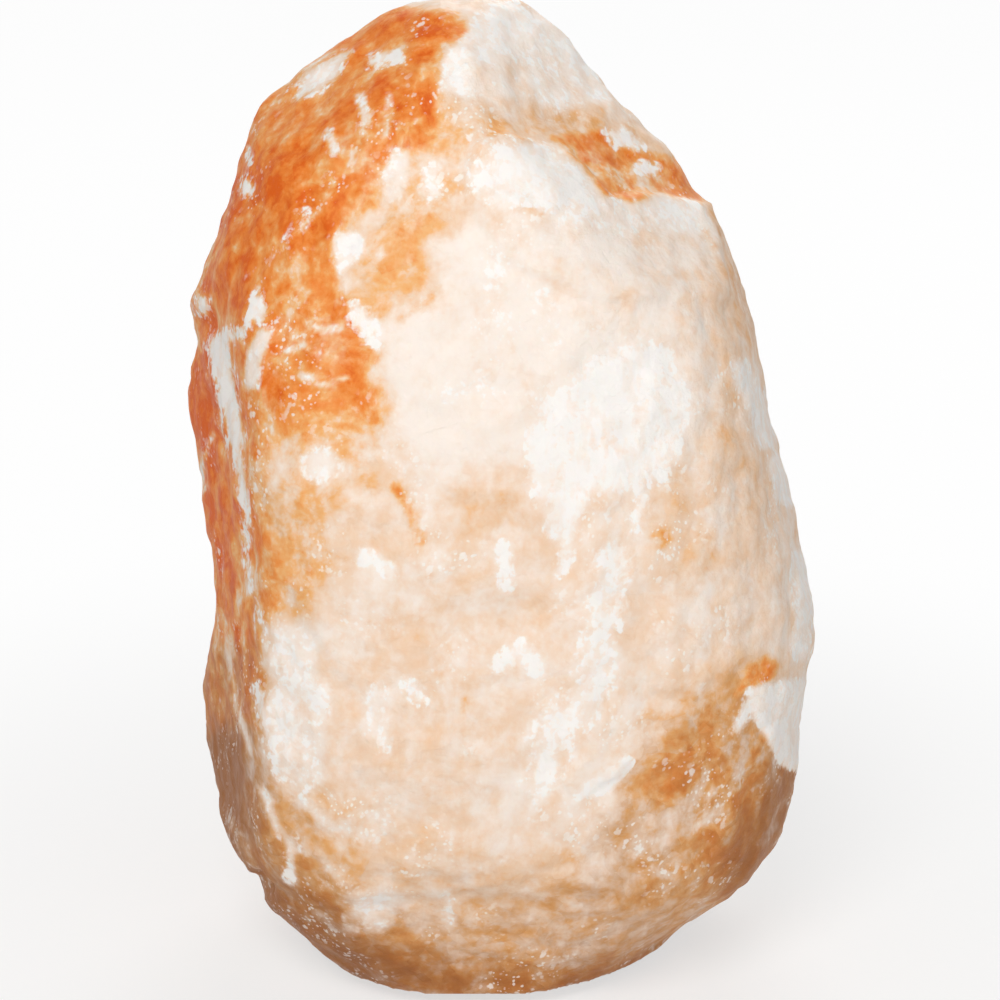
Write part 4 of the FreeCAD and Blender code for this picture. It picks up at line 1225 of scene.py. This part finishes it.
class Workpiece:
    """A fitting in the making, worked in millimetres."""

    weld: float = 1e-4
    sharp_rim: float = math.radians(32)
    sharp_look: float = math.radians(38)
    rim_steps: int = 3
    upright_lean: float = 0.6
    crest_reach: float = 1.2
    flute_reach: float = 0.02
    flute_end: float = 0.9
    head_depth: float = 0.6
    floor_depth: float = 0.3

    def __init__(self) -> None:
        """Starts an empty piece."""
        self.work = bmesh.new()

    def turn(
        self, profile: Sequence[tuple[float, float]], steps: int = 72, rim: float = 0.0, net: float = 0.0
    ) -> list[bmesh.types.BMVert]:
        """Spins a profile round the upright axis into a closed body.

        Args:
            profile: Radius and height of each corner.
            steps: Faces round the body.
            rim: How far its sharp rims are rounded.
            net: Longest face up the body, where it gets a thread or flutes.

        Returns:
            The points of the body.
        """
        old = set(self.work.verts)
        corners = [self.work.verts.new((radius, 0.0, height)) for radius, height in profile]
        pairs = list(zip(corners, corners[1:]))
        if profile[0][0] > 0.0 or profile[-1][0] > 0.0:
            pairs.append((corners[-1], corners[0]))
        edges = [self.work.edges.new(pair) for pair in pairs]
        bmesh.ops.spin(
            self.work, geom=corners + edges, cent=(0, 0, 0), axis=(0, 0, 1), angle=math.tau, steps=steps,
            use_merge=True,
        )
        made = [vert for vert in self.work.verts if vert not in old]
        bmesh.ops.remove_doubles(self.work, verts=made, dist=self.weld)
        faces = [face for face in self.work.faces if face.verts[0] not in old]
        bmesh.ops.recalc_face_normals(self.work, faces=faces)
        if rim > 0.0:
            sharp = [e for e in self.work.edges if e.verts[0] not in old and e.is_manifold
                     and e.calc_face_angle() > self.sharp_rim]
            bmesh.ops.bevel(
                self.work, geom=sharp, offset=rim, offset_type="OFFSET", segments=self.rim_steps, profile=0.5,
                affect="EDGES", material=-1, clamp_overlap=True,
            )
        if net > 0.0:
            rising = [e for e in self.work.edges if e.verts[0] not in old
                      and abs(e.verts[0].co.z - e.verts[1].co.z) > net
                      and (e.verts[0].co.xy - e.verts[1].co.xy).length < self.upright_lean]
            for length in {round(e.calc_length(), 3) for e in rising}:
                same = [e for e in rising if e.is_valid and round(e.calc_length(), 3) == length]
                bmesh.ops.subdivide_edges(
                    self.work, edges=same, cuts=max(int(length / net) - 1, 1), use_grid_fill=True
                )
        self.work.normal_update()
        return [vert for vert in self.work.verts if vert not in old]

    def thread(
        self, points: Sequence[bmesh.types.BMVert], thread: Thread, outside: float = 0.0, inside: float = 0.0
    ) -> None:
        """Cuts a thread into a turned body.

        Args:
            points: Points of the body.
            thread: The thread.
            outside: Radius of the crests on the outer face, or 0 for none there.
            inside: Radius of the crests on the inner face, or 0 for none there.
        """
        for point in points:
            radius = point.co.xy.length
            crest = outside if point.normal.xy.dot(point.co.xy) > 0.0 else inside
            level = abs(point.normal.z) > 0.95
            if crest > 0.0 and abs(radius - crest) < self.crest_reach and not level:
                wanted = min(radius, crest - thread.groove(point.co))
                point.co.xy = point.co.xy * (wanted / radius)

    def flats(self, points: Sequence[bmesh.types.BMVert], across: float) -> None:
        """Cuts six flats, two of them square to the X axis.

        Args:
            points: Points of a turned body as wide as the corners.
            across: Distance between two flats.
        """
        sixth = math.radians(60)
        for point in points:
            radius = point.co.xy.length
            if radius > self.weld:
                turn = math.atan2(point.co.y, point.co.x) % sixth
                flat = across / 2 / math.cos(min(turn, sixth - turn))
                point.co.xy = point.co.xy * min(1.0, flat / radius)

    def flute(self, points: Sequence[bmesh.types.BMVert], count: int, depth: float, low: float,
              high: float, radius: float) -> None:
        """Cuts hollows side by side round a turned body, for the fingers to grip.

        Args:
            points: Points of the body.
            count: Number of hollows.
            depth: Their depth.
            low: Where they start.
            high: Where they end.
            radius: Radius of the face that they are cut into.
        """
        for point in points:
            if abs(point.co.xy.length - radius) < self.flute_reach and low < point.co.z < high:
                turn = math.atan2(point.co.y, point.co.x)
                ends = min(min(point.co.z - low, high - point.co.z) / self.flute_end, 1.0)
                hollow = depth * ends * max(0.0, math.cos(count * turn)) ** 0.7
                point.co.xy = point.co.xy * (1.0 - hollow / radius)

    def slot(self, points: Sequence[bmesh.types.BMVert], width: float, depth: float, top: float) -> None:
        """Cuts a screwdriver slot along X into the upper face of a head.

        Args:
            points: Points of the screw.
            width: Width of the slot.
            depth: Its depth.
            top: Height of the face.
        """
        own = set(points)
        for side in (-width / 2, width / 2):
            corners = [vert for vert in self.work.verts if vert in own]
            head = [item for item in (*self.work.edges, *self.work.faces)
                    if item.verts[0].co.z > top - self.head_depth]
            bmesh.ops.bisect_plane(
                self.work, geom=corners + head, plane_co=(0, side, 0), plane_no=(0, 1, 0),
                dist=self.weld / 10,
            )
        floor = [f for f in self.work.faces if f.normal.z > 0.8 and abs(f.calc_center_median().y) < width / 2
                 and f.calc_center_median().z > top - self.floor_depth]
        grown = bmesh.ops.extrude_face_region(self.work, geom=floor)
        bmesh.ops.delete(self.work, geom=[f for f in floor if f.is_valid], context="FACES_ONLY")
        sunk = [g for g in grown["geom"] if isinstance(g, bmesh.types.BMVert)]
        bmesh.ops.translate(self.work, vec=(0, 0, -depth), verts=sunk)
        self.work.normal_update()

    def move(self, points: Sequence[bmesh.types.BMVert], matrix: Matrix) -> None:
        """Moves some points of the piece, all in the same way."""
        bmesh.ops.transform(self.work, matrix=matrix, space=Matrix(), verts=list(points))

    def take(self, other: "Workpiece", matrix: Matrix = Matrix()) -> None:
        """Adds a copy of another piece.

        Args:
            other: The piece to copy.
            matrix: Where its copy goes.
        """
        copy = bpy.data.meshes.new("copy")
        other.work.to_mesh(copy)
        copy.transform(matrix)
        self.work.from_mesh(copy)
        bpy.data.meshes.remove(copy)

    def wire(self, path: Sequence[tuple[float, float, float]], radius: float, sides: int = 3) -> None:
        """Adds a round wire along a smooth line.

        Args:
            path: Its two ends, and the points between them that the line is drawn towards.
            radius: Radius of the wire.
            sides: Fineness of its section.
        """
        curve = bpy.data.curves.new("wire", "CURVE")
        curve.dimensions = "3D"
        curve.bevel_depth = radius
        curve.bevel_resolution = sides
        curve.use_fill_caps = True
        curve.resolution_u = 4
        line = curve.splines.new("NURBS")
        line.points.add(len(path) - 1)
        for point, place in zip(line.points, path):
            point.co = (*place, 1.0)
        line.order_u = 3
        line.use_endpoint_u = True
        holder = add_object("wire", curve)
        graph = bpy.context.evaluated_depsgraph_get()
        mesh = bpy.data.meshes.new_from_object(holder.evaluated_get(graph), depsgraph=graph)
        self.work.from_mesh(mesh)
        bpy.data.objects.remove(holder)
        bpy.data.curves.remove(curve)
        bpy.data.meshes.remove(mesh)

    def finish(self, name: str, body: str, finish: PieceFinish, *nodes: str) -> bpy.types.Object:
        """Makes the object: in metres, smooth but for its sharp rims, and dressed.

        Args:
            name: Name of the piece.
            body: Body that it rides on.
            finish: Its finish.
            nodes: Solids that it replaces.

        Returns:
            The object.
        """
        bmesh.ops.scale(self.work, vec=(MM, MM, MM), verts=self.work.verts)
        mesh = bpy.data.meshes.new(name)
        self.work.to_mesh(mesh)
        self.work.free()
        for face in mesh.polygons:
            face.use_smooth = True
        mesh.set_sharp_from_angle(angle=self.sharp_look)
        mesh.materials.append(finish.shared())
        piece = add_object(name, mesh)
        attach(piece, body)
        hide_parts(*nodes)
        log.info("%s: %d faces", name, len(mesh.polygons))
        return piece


@dataclass
class Feet:
    """Rubber feet under the crystal, with their screws, washers and plugs; sizes in millimetres."""

    circle: float = 33.4
    radius: float = 5.2
    height: float = 4.0
    edge: float = 0.55
    groove_depth: float = 0.22
    groove_low: float = 1.7
    groove_high: float = 2.5
    groove_slope: float = 0.2
    recess: float = 3.6
    recess_depth: float = 2.4
    recess_edge: float = 0.25
    hole: float = 1.9
    screw: float = 1.7
    screw_top: float = 20.8
    screw_point: float = 1.5
    head_across: float = 5.6
    head_bottom: float = 0.5
    head_top: float = 1.8
    head_edge: float = 0.2

    def places(self) -> dict[str, Matrix]:
        """Where the feet stand.

        Returns:
            The place of each, by its name.
        """
        near = self.circle * math.sqrt(0.5)
        signs = {"front_left": (-1, -1), "front_right": (1, -1), "rear_left": (-1, 1), "rear_right": (1, 1)}
        return {name: Matrix.Translation((x * near, y * near, 0)) for name, (x, y) in signs.items()}

    def build(self) -> None:
        """Makes the feet and their screws and dresses the rest."""
        for name, place in self.places().items():
            foot = Workpiece()
            foot.take(self.foot(), place)
            foot.finish("rubber_foot_" + name, "crystal", RUBBER, "foot_" + name)
        screws = Workpiece()
        for place in self.places().values():
            screws.take(self.foot_screw(), place)
        screws.finish("hex_foot_screws", "crystal", ZINC, "foot_screws")
        dress("foot_washers", ZINC)
        dress("screw_plugs", GREY_NYLON)

    def foot(self) -> Workpiece:
        """Makes one foot: a ring with a recess for the screw, a grip edge and a groove round it.

        Returns:
            The foot, at the origin.
        """
        work = Workpiece()
        groove = self.radius - self.groove_depth
        work.turn((
            (self.hole, self.height), (self.hole, self.recess_depth), (self.recess, self.recess_depth),
            (self.recess, self.recess_edge), (self.recess + self.recess_edge, 0.0),
            (self.radius - self.edge, 0.0), (self.radius, self.edge), (self.radius, self.groove_low),
            (groove, self.groove_low + self.groove_slope), (groove, self.groove_high - self.groove_slope),
            (self.radius, self.groove_high), (self.radius, self.height),
        ), steps=56, rim=0.16)
        return work

    def foot_screw(self) -> Workpiece:
        """Makes one screw, its hexagonal head down in the foot.

        Returns:
            The screw, at the origin.
        """
        work = Workpiece()
        corner, flat = self.head_across / math.sqrt(3), self.head_across / 2 - 0.02
        head = work.turn((
            (0.0, self.head_bottom), (flat, self.head_bottom), (corner, self.head_bottom + self.head_edge),
            (corner, self.head_top), (self.screw, self.head_top), (0.0, self.head_top),
        ), steps=48)
        work.flats(head, self.head_across)
        start = self.head_top - 0.1
        shank = work.turn((
            (0.0, start), (self.screw, start), (self.screw, self.screw_top - self.screw_point),
            (0.5, self.screw_top), (0.0, self.screw_top),
        ), steps=24, net=0.2)
        thread = Thread(pitch=1.25, depth=0.35, low=4.2, high=self.screw_top - 0.2)
        work.thread(shank, thread, outside=self.screw)
        return work


@dataclass
class LampHolder:
    """Screw holder for the bulb on its spring bracket, with the cord grip under it; sizes in millimetres."""

    grip_across: float = 15.0
    grip_bottom: float = 20.0
    grip_top: float = 36.0
    cord_bore: float = 3.2
    nipple: float = 5.0
    nipple_bottom: float = 28.0
    nipple_top: float = 48.0
    nut_across: float = 14.0
    nut_top: float = 39.0
    cap_bottom: float = 39.8
    cap_top: float = 57.8
    cap_radius: float = 13.5
    cap_inner: float = 11.55
    cap_floor: float = 42.0
    neck_radius: float = 11.5
    neck_inner: float = 9.65
    neck_bottom: float = 51.8
    skirt_top: float = 84.8
    skirt_inner: float = 11.8
    ledge: float = 8.35
    ledge_bottom: float = 58.3
    ledge_top: float = 59.9
    shell_top: float = 75.8
    shell_inner: float = 7.05
    shell_outer: float = 7.45
    grip_screw: float = 2.0
    grip_screw_from: float = 3.6
    grip_screw_to: float = 9.6
    grip_screw_height: float = 24.0
    terminal_out: float = 4.4
    grip_mouth: tuple[tuple[float, float], ...] = ((5.2, 0.0), (6.5, 0.5), (7.3, 1.5))
    grip_edge: float = 0.7
    nut_edge: float = 0.45
    thread_edge: float = 0.3
    cap_curve: tuple[float, float] = (2.4, 0.7)

    def build(self) -> None:
        """Makes the pieces of the holder from the cord grip up."""
        self.cord_grip()
        self.clamp_screw()
        self.nipple_and_nut()
        self.cap()
        self.skirt()
        self.shell()
        self.terminals()
        for node in ("centre_contact", "side_contact"):
            dress(node, BRASS)
        dress("spring_bracket", SPRING_STEEL)
        dress("holder_insert", CERAMIC)

    def cord_grip(self) -> None:
        """Makes the hexagonal gland with its domed mouth."""
        work = Workpiece()
        corner = self.grip_across / math.sqrt(3)
        body = work.turn((
            (self.cord_bore, self.nipple_bottom), (self.cord_bore, self.grip_bottom + self.grip_edge),
            (self.cord_bore + self.grip_edge, self.grip_bottom),
            *((radius, self.grip_bottom + rise) for radius, rise in self.grip_mouth),
            (corner, self.grip_bottom + 2.3), (corner, self.grip_top - self.grip_edge),
            (self.grip_across / 2 - 0.3, self.grip_top), (self.nipple, self.grip_top),
            (self.nipple, self.nipple_bottom),
        ), steps=96, rim=0.2)
        work.flats(body, self.grip_across)
        work.finish("cord_gland", "lamp_holder", WHITE_NYLON, "cord_grip")

    def clamp_screw(self) -> None:
        """Makes the slotted nylon screw in the side of the gland."""
        work = Workpiece()
        radius, length = self.grip_screw, self.grip_screw_to - self.grip_screw_from
        point, edge = 0.7, 0.35
        body = work.turn((
            (0.0, 0.0), (radius - point, 0.0), (radius, 0.5), (radius, length - edge),
            (radius - edge, length), (0.0, length),
        ), steps=36, net=0.12)
        thread = Thread(pitch=0.8, depth=0.25, low=0.3, high=length - 2.0, run_in=0.4, run_out=0.4)
        work.thread(body, thread, outside=radius)
        work.slot(body, width=0.7, depth=0.9, top=length)
        lay_down = Matrix.Translation((self.grip_screw_from, 0, self.grip_screw_height)) @ Matrix.Rotation(
            math.radians(90), 4, "Y")
        work.move(work.work.verts, lay_down)
        work.finish("clamp_screw", "lamp_holder", WHITE_NYLON, "cord_grip_screw")

    def nipple_and_nut(self) -> None:
        """Makes the threaded tube and the nut on it."""
        tube = Workpiece()
        low, high = self.nipple_bottom, self.nipple_top
        body = tube.turn((
            (self.cord_bore, low), (self.nipple - 0.4, low), (self.nipple, low + 0.4),
            (self.nipple, high - 0.5), (self.nipple - 0.5, high), (self.cord_bore, high),
        ), steps=64, net=0.125)
        thread = Thread(pitch=1.0, depth=0.45, low=low, high=high, run_in=0.3, run_out=0.3)
        tube.thread(body, thread, outside=self.nipple)
        tube.finish("nipple_tube", "lamp_holder", ZINC, "threaded_nipple")
        nut = Workpiece()
        corner, flat = self.nut_across / math.sqrt(3), self.nut_across / 2 - 0.05
        mouth, low, high = self.nipple + self.thread_edge, self.grip_top, self.nut_top
        body = nut.turn((
            (self.nipple, low + self.thread_edge), (mouth, low), (flat, low),
            (corner, low + self.nut_edge), (corner, high - self.nut_edge), (flat, high), (mouth, high),
            (self.nipple, high - self.thread_edge),
        ), steps=96)
        nut.flats(body, self.nut_across)
        nut.finish("clamp_nut", "lamp_holder", ZINC, "hex_nut")

    def cap(self) -> None:
        """Makes the cap at the bottom of the holder, fluted for the fingers."""
        work = Workpiece()
        long, short = self.cap_curve
        low, high = self.cap_bottom, self.cap_top
        body = work.turn((
            (self.nipple, low), (self.cap_radius - long, low), (self.cap_radius - short, low + short),
            (self.cap_radius, low + long), (self.cap_radius, high), (self.cap_inner, high),
            (self.cap_inner, self.cap_floor), (self.nipple, self.cap_floor),
        ), steps=192, rim=0.3, net=0.8)
        work.flute(body, count=24, depth=0.55, low=low + 3.4, high=high - 1.4, radius=self.cap_radius)
        work.finish("fluted_cap", "lamp_holder", HOLDER_PLASTIC, "holder_cap")

    def skirt(self) -> None:
        """Makes the skirt round the screw shell, with the thread for a ring outside."""
        work = Workpiece()
        body = work.turn((
            (self.neck_inner, self.neck_bottom), (self.neck_radius, self.neck_bottom),
            (self.neck_radius, self.cap_top), (self.cap_radius, self.cap_top),
            (self.cap_radius, self.skirt_top), (self.skirt_inner, self.skirt_top),
            (self.skirt_inner, self.ledge_top), (self.ledge, self.ledge_top),
            (self.ledge, self.ledge_bottom), (self.neck_inner, self.ledge_bottom),
        ), steps=96, rim=0.3, net=0.3)
        ring = Thread(pitch=2.5, depth=0.65, low=self.cap_top + 6.0, high=self.skirt_top - 1.4)
        neck = Thread(pitch=1.5, depth=0.4, low=self.neck_bottom + 0.5, high=self.cap_top - 0.5)
        work.thread(body, ring, outside=self.cap_radius)
        work.thread(body, neck, outside=self.neck_radius)
        work.finish("threaded_skirt", "lamp_holder", HOLDER_PLASTIC, "holder_skirt")

    def shell(self) -> None:
        """Makes the rolled brass shell, with the same thread as the cap of the bulb."""
        work = Workpiece()
        body = work.turn((
            (self.shell_inner, self.ledge_bottom), (self.shell_outer, self.ledge_bottom),
            (self.shell_outer, self.shell_top), (self.shell_inner, self.shell_top),
        ), steps=72, net=0.26)
        thread = replace(CAP_THREAD, low=62.6, high=75.5, run_in=1.2, run_out=1.0)
        work.thread(body, thread, self.shell_outer, self.shell_inner)
        work.finish("rolled_shell", "lamp_holder", BRASS, "screw_shell")

    def terminals(self) -> None:
        """Makes the two slotted terminal screws, heads down."""
        work = Workpiece()
        head_radius, head_height = 1.6, 1.3
        for side, seat, length in ((-1, 51.8, 6.9), (1, 51.4, 5.0)):
            screw = Workpiece()
            points = screw.turn((
                (0.0, -length), (1.1, -length), (1.1, 0.0), (head_radius, 0.0), (head_radius, 0.95),
                (1.25, head_height), (0.0, head_height),
            ), steps=32)
            screw.slot(points, width=0.5, depth=0.6, top=head_height)
            upside_down = Matrix.Translation((side * self.terminal_out, 0, seat)) @ Matrix.Rotation(
                math.radians(180), 4, "X")
            work.take(screw, upside_down)
            screw.work.free()
        work.finish("slotted_terminals", "lamp_holder", BRASS, "terminal_screws")


@dataclass
class Bulb:
    """Small clear bulb with a screw cap; sizes in millimetres."""

    tip: float = 2.4
    tip_bottom: float = 61.68
    insulator: float = 5.2
    insulator_bottom: float = 62.68
    insulator_top: float = 65.08
    cap_bottom: float = 64.08
    cap_top: float = 81.08
    cap_radius: float = 6.95
    cap_wall: float = 0.3
    glass_bottom: float = 76.08
    neck_top: float = 82.58
    ball: float = 14.0
    ball_middle: float = 107.08
    ball_low: float = 102.69
    glass_wall: float = 0.6
    stem: float = 1.9
    stem_top: float = 95.08
    flare: float = 5.92
    filament_half: float = 7.0
    filament_level: float = 108.08
    filament_rise: float = 2.5
    coils: int = 46
    coil_radius: float = 0.16
    filament_wire: float = 0.07
    lead_wire: float = 0.22
    waist_curve: float = 5.0
    tip_curve: tuple[tuple[float, float], ...] = ((0.0, 0.0), (0.45, 0.04), (0.8, 0.26), (0.96, 0.6))
    flare_curve: tuple[tuple[float, float], ...] = ((4.2, 1.4), (2.7, 3.4))

    def build(self) -> None:
        """Makes the pieces of the bulb from its tip up."""
        self.tip_and_insulator()
        self.cap()
        self.glass()
        self.stem_and_wires()

    def tip_and_insulator(self) -> None:
        """Makes the domed solder tip and the ring of dark glass above it."""
        tip = Workpiece()
        tip.turn((
            *((self.tip * share, self.tip_bottom + rise) for share, rise in self.tip_curve),
            (self.tip, self.insulator_bottom), (0.0, self.insulator_bottom),
        ), steps=48)
        tip.finish("solder_tip", "bulb_tip", SOLDER, "bulb_contact_tip")
        ring = Workpiece()
        low, high = self.insulator_bottom, self.insulator_top
        ring.turn((
            (0.0, low), (2.9, low), (4.3, low + 0.35), (self.insulator, low + 1.3), (self.insulator, high),
            (0.0, high),
        ), steps=64, rim=0.15)
        ring.finish("dark_glass_ring", "bulb", BLACK_GLASS, "bulb_cap_insulator")

    def cap(self) -> None:
        """Makes the rolled screw cap with its plain rim."""
        work = Workpiece()
        inner, low = self.cap_radius - self.cap_wall, self.cap_bottom
        body = work.turn((
            (self.insulator, low), (6.05, low), (6.4, low + 0.35), (self.cap_radius, low + 1.2),
            (self.cap_radius, self.cap_top), (inner, self.cap_top), (inner, self.insulator_top),
            (self.insulator, self.insulator_top),
        ), steps=72, net=0.26)
        work.thread(body, CAP_THREAD, self.cap_radius, inner)
        work.finish("screw_cap", "bulb", CAP_METAL, "bulb_cap")

    def glass(self) -> None:
        """Makes the clear pear: a ball, cut open below and drawn down to the neck, with its wall."""
        work = Workpiece()
        mesh = work.work
        bmesh.ops.create_uvsphere(
            mesh, u_segments=64, v_segments=36, radius=self.ball,
            matrix=Matrix.Translation((0, 0, self.ball_middle)),
        )
        bmesh.ops.bisect_plane(
            mesh, geom=[*mesh.verts, *mesh.edges, *mesh.faces], plane_co=(0, 0, self.ball_low),
            plane_no=(0, 0, -1), clear_outer=True, dist=1e-4,
        )
        rim = [edge for edge in mesh.edges if edge.is_boundary]
        neck = self.cap_radius - self.cap_wall
        for radius, height in ((neck, self.neck_top), (neck, self.glass_bottom)):
            grown = bmesh.ops.extrude_edge_only(mesh, edges=rim)["geom"]
            low = [item for item in grown if isinstance(item, bmesh.types.BMVert)]
            rim = [item for item in grown if isinstance(item, bmesh.types.BMEdge) and item.is_boundary]
            for vert in low:
                vert.co.xy = vert.co.xy.normalized() * radius
                vert.co.z = height
        waist = [edge for edge in mesh.edges if not edge.is_boundary
                 and all(abs(vert.co.z - self.neck_top) < 1e-3 for vert in edge.verts)]
        bmesh.ops.bevel(
            mesh, geom=waist, offset=self.waist_curve, offset_type="OFFSET", segments=6, profile=0.5,
            affect="EDGES", material=-1, clamp_overlap=True,
        )
        bmesh.ops.recalc_face_normals(mesh, faces=mesh.faces)
        bmesh.ops.solidify(mesh, geom=[*mesh.verts, *mesh.edges, *mesh.faces], thickness=self.glass_wall)
        work.finish("clear_glass", "bulb", BULB_GLASS, "bulb_glass")

    def stem_and_wires(self) -> None:
        """Makes the glass stem with its flare and pinch, the two wires and the coiled filament."""
        stem = Workpiece()
        low, high = self.glass_bottom, self.stem_top
        body = stem.turn((
            (0.0, low), (self.flare, low), (self.flare, low + 0.5),
            *((radius, low + rise) for radius, rise in self.flare_curve),
            (self.stem, low + 6.5), (self.stem, high - 0.6), (self.stem - 0.5, high), (0.0, high),
        ), steps=48, net=0.8)
        pinch_height, pinch_slope, flatness = 9.0, 4.0, 0.45
        for vert in body:
            pinch = min(max((vert.co.z - high + pinch_height) / pinch_slope, 0.0), 1.0)
            vert.co.y *= 1.0 - flatness * pinch
        stem.finish("pinched_stem", "bulb", STEM_GLASS, "bulb_stem")

        leads = Workpiece()
        level = self.filament_level
        for side in (-1, 1):
            leads.wire([(side * out, 0, height) for out, height in (
                (1.1, high - 4.0), (1.1, high), (1.3, high + 2.2), (5.4, level - 3.2), (6.8, level - 1.0),
                (self.filament_half, level),
            )], self.lead_wire)
        leads.finish("lead_wires", "bulb", WIRE_METAL, "bulb_lead_wires")

        filament = Workpiece()
        path, corners, level_half = [], 8, 3.0
        for step in range(self.coils * corners + 1):
            x = (2 * step / (self.coils * corners) - 1) * self.filament_half
            fall = max(abs(x) - level_half, 0.0) / (self.filament_half - level_half)
            lift = self.filament_rise * (1.0 - fall)
            turn = math.tau * step / corners
            y, z = self.coil_radius * math.cos(turn), self.coil_radius * math.sin(turn)
            path.append((x, y, level + lift + z))
        filament.wire(path, self.filament_wire, sides=1)
        filament.finish("coiled_filament", "bulb", WIRE_METAL, "bulb_filament")


def dress(node: str, finish: PieceFinish) -> None:
    """Gives a solid that keeps its own shape a finish.

    Args:
        node: Name of the solid.
        finish: Its finish.
    """
    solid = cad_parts[node]
    solid.data.materials.clear()
    solid.data.materials.append(finish.shared())
    log.info("%s: dressed", node)


@dataclass(frozen=True)
class SoftLamp:
    """A round, soft lamp: where it stands, the width of its panel and its power in watts."""

    name: str
    place: Place
    width: float
    power: float

    def build(self, aim: Place) -> None:
        """Adds the lamp.

        Args:
            aim: Point that it shines at.
        """
        data = bpy.data.lights.new(self.name, "AREA")
        data.shape = "DISK"
        data.size = self.width
        data.energy = self.power
        lamp = add_object(self.name, data)
        lamp.location = self.place
        lamp.rotation_euler = (Vector(self.place) - Vector(aim)).to_track_quat("Z", "Y").to_euler()


@dataclass
class Studio:
    """Floor, sky and lamps round the salt lamp."""

    view: FrontView
    floor_reach: float = 4.0
    floor_shade: Shade = (240, 239, 237)
    sky_strength: float = 0.24
    aim: Place = (0.0, 0.0, 0.12)
    lamps: tuple[SoftLamp, ...] = (
        SoftLamp("key", (-0.3, -1.1, 1.2), 0.8, 14.0),
        SoftLamp("fill", (0.7, -1.1, 0.6), 1.0, 3.4),
        SoftLamp("rim", (0.2, 1.0, 0.9), 0.8, 6.0),
    )

    def build(self) -> None:
        """Makes the floor, the sky, the lamps and the camera."""
        self.floor()
        self.sky()
        for lamp in self.lamps:
            lamp.build(self.aim)
        self.view.camera()

    def floor(self) -> None:
        """Makes the pale floor, which shows as white around the lamp and keeps its shadow."""
        work = bmesh.new()
        bmesh.ops.create_grid(work, x_segments=1, y_segments=1, size=self.floor_reach)
        mesh = bpy.data.meshes.new("floor")
        work.to_mesh(mesh)
        work.free()
        plan = ShaderPlan("floor")
        plan.set(Base_Color=linear(*self.floor_shade), Roughness=0.9)
        away = plan.add("VectorMath", {0: plan.place}, operation="LENGTH").outputs["Value"]
        share = plan.spread(plan.step(away, low=0.05, high=0.35), low=0.62, high=0.97)
        glow = plan.add("Emission")
        mix = plan.add("MixShader", {
            0: plan.times(seen_ray(plan.tree), share), 1: plan.shader.outputs[0], 2: glow.outputs[0],
        })
        fill(plan.tree, plan.output, {"Surface": mix.outputs[0]})
        mesh.materials.append(plan.material)
        floor = add_object("floor", mesh)

    def sky(self) -> None:
        """Makes the even light from all round, white to the camera."""
        world = bpy.data.worlds.new("studio")
        bpy.context.scene.world = world
        world.use_nodes = True
        tree = world.node_tree
        tree.nodes.clear()
        seen = add_node(tree, "Background", {"Color": (1.0, 1.0, 1.0, 1.0)})
        around = add_node(tree, "Background", {"Strength": self.sky_strength})
        mix = add_node(tree, "MixShader", {0: seen_ray(tree), 1: around.outputs[0], 2: seen.outputs[0]})
        add_node(tree, "OutputWorld", {"Surface": mix.outputs[0]})


def main() -> None:
    """Builds the lamp, piece by piece."""
    logging.basicConfig(level=logging.INFO, format="%(name)s: %(message)s")
    bpy.context.scene.view_settings.view_transform = "Standard"
    view = FrontView()
    Studio(view).build()
    log.info("studio")
    crystal = SaltCrystal().build(view)
    log.info("%s: %d faces", crystal.name, len(crystal.data.polygons))
    Feet().build()
    LampHolder().build()
    Bulb().build()


if __name__ == "__main__":
    main()
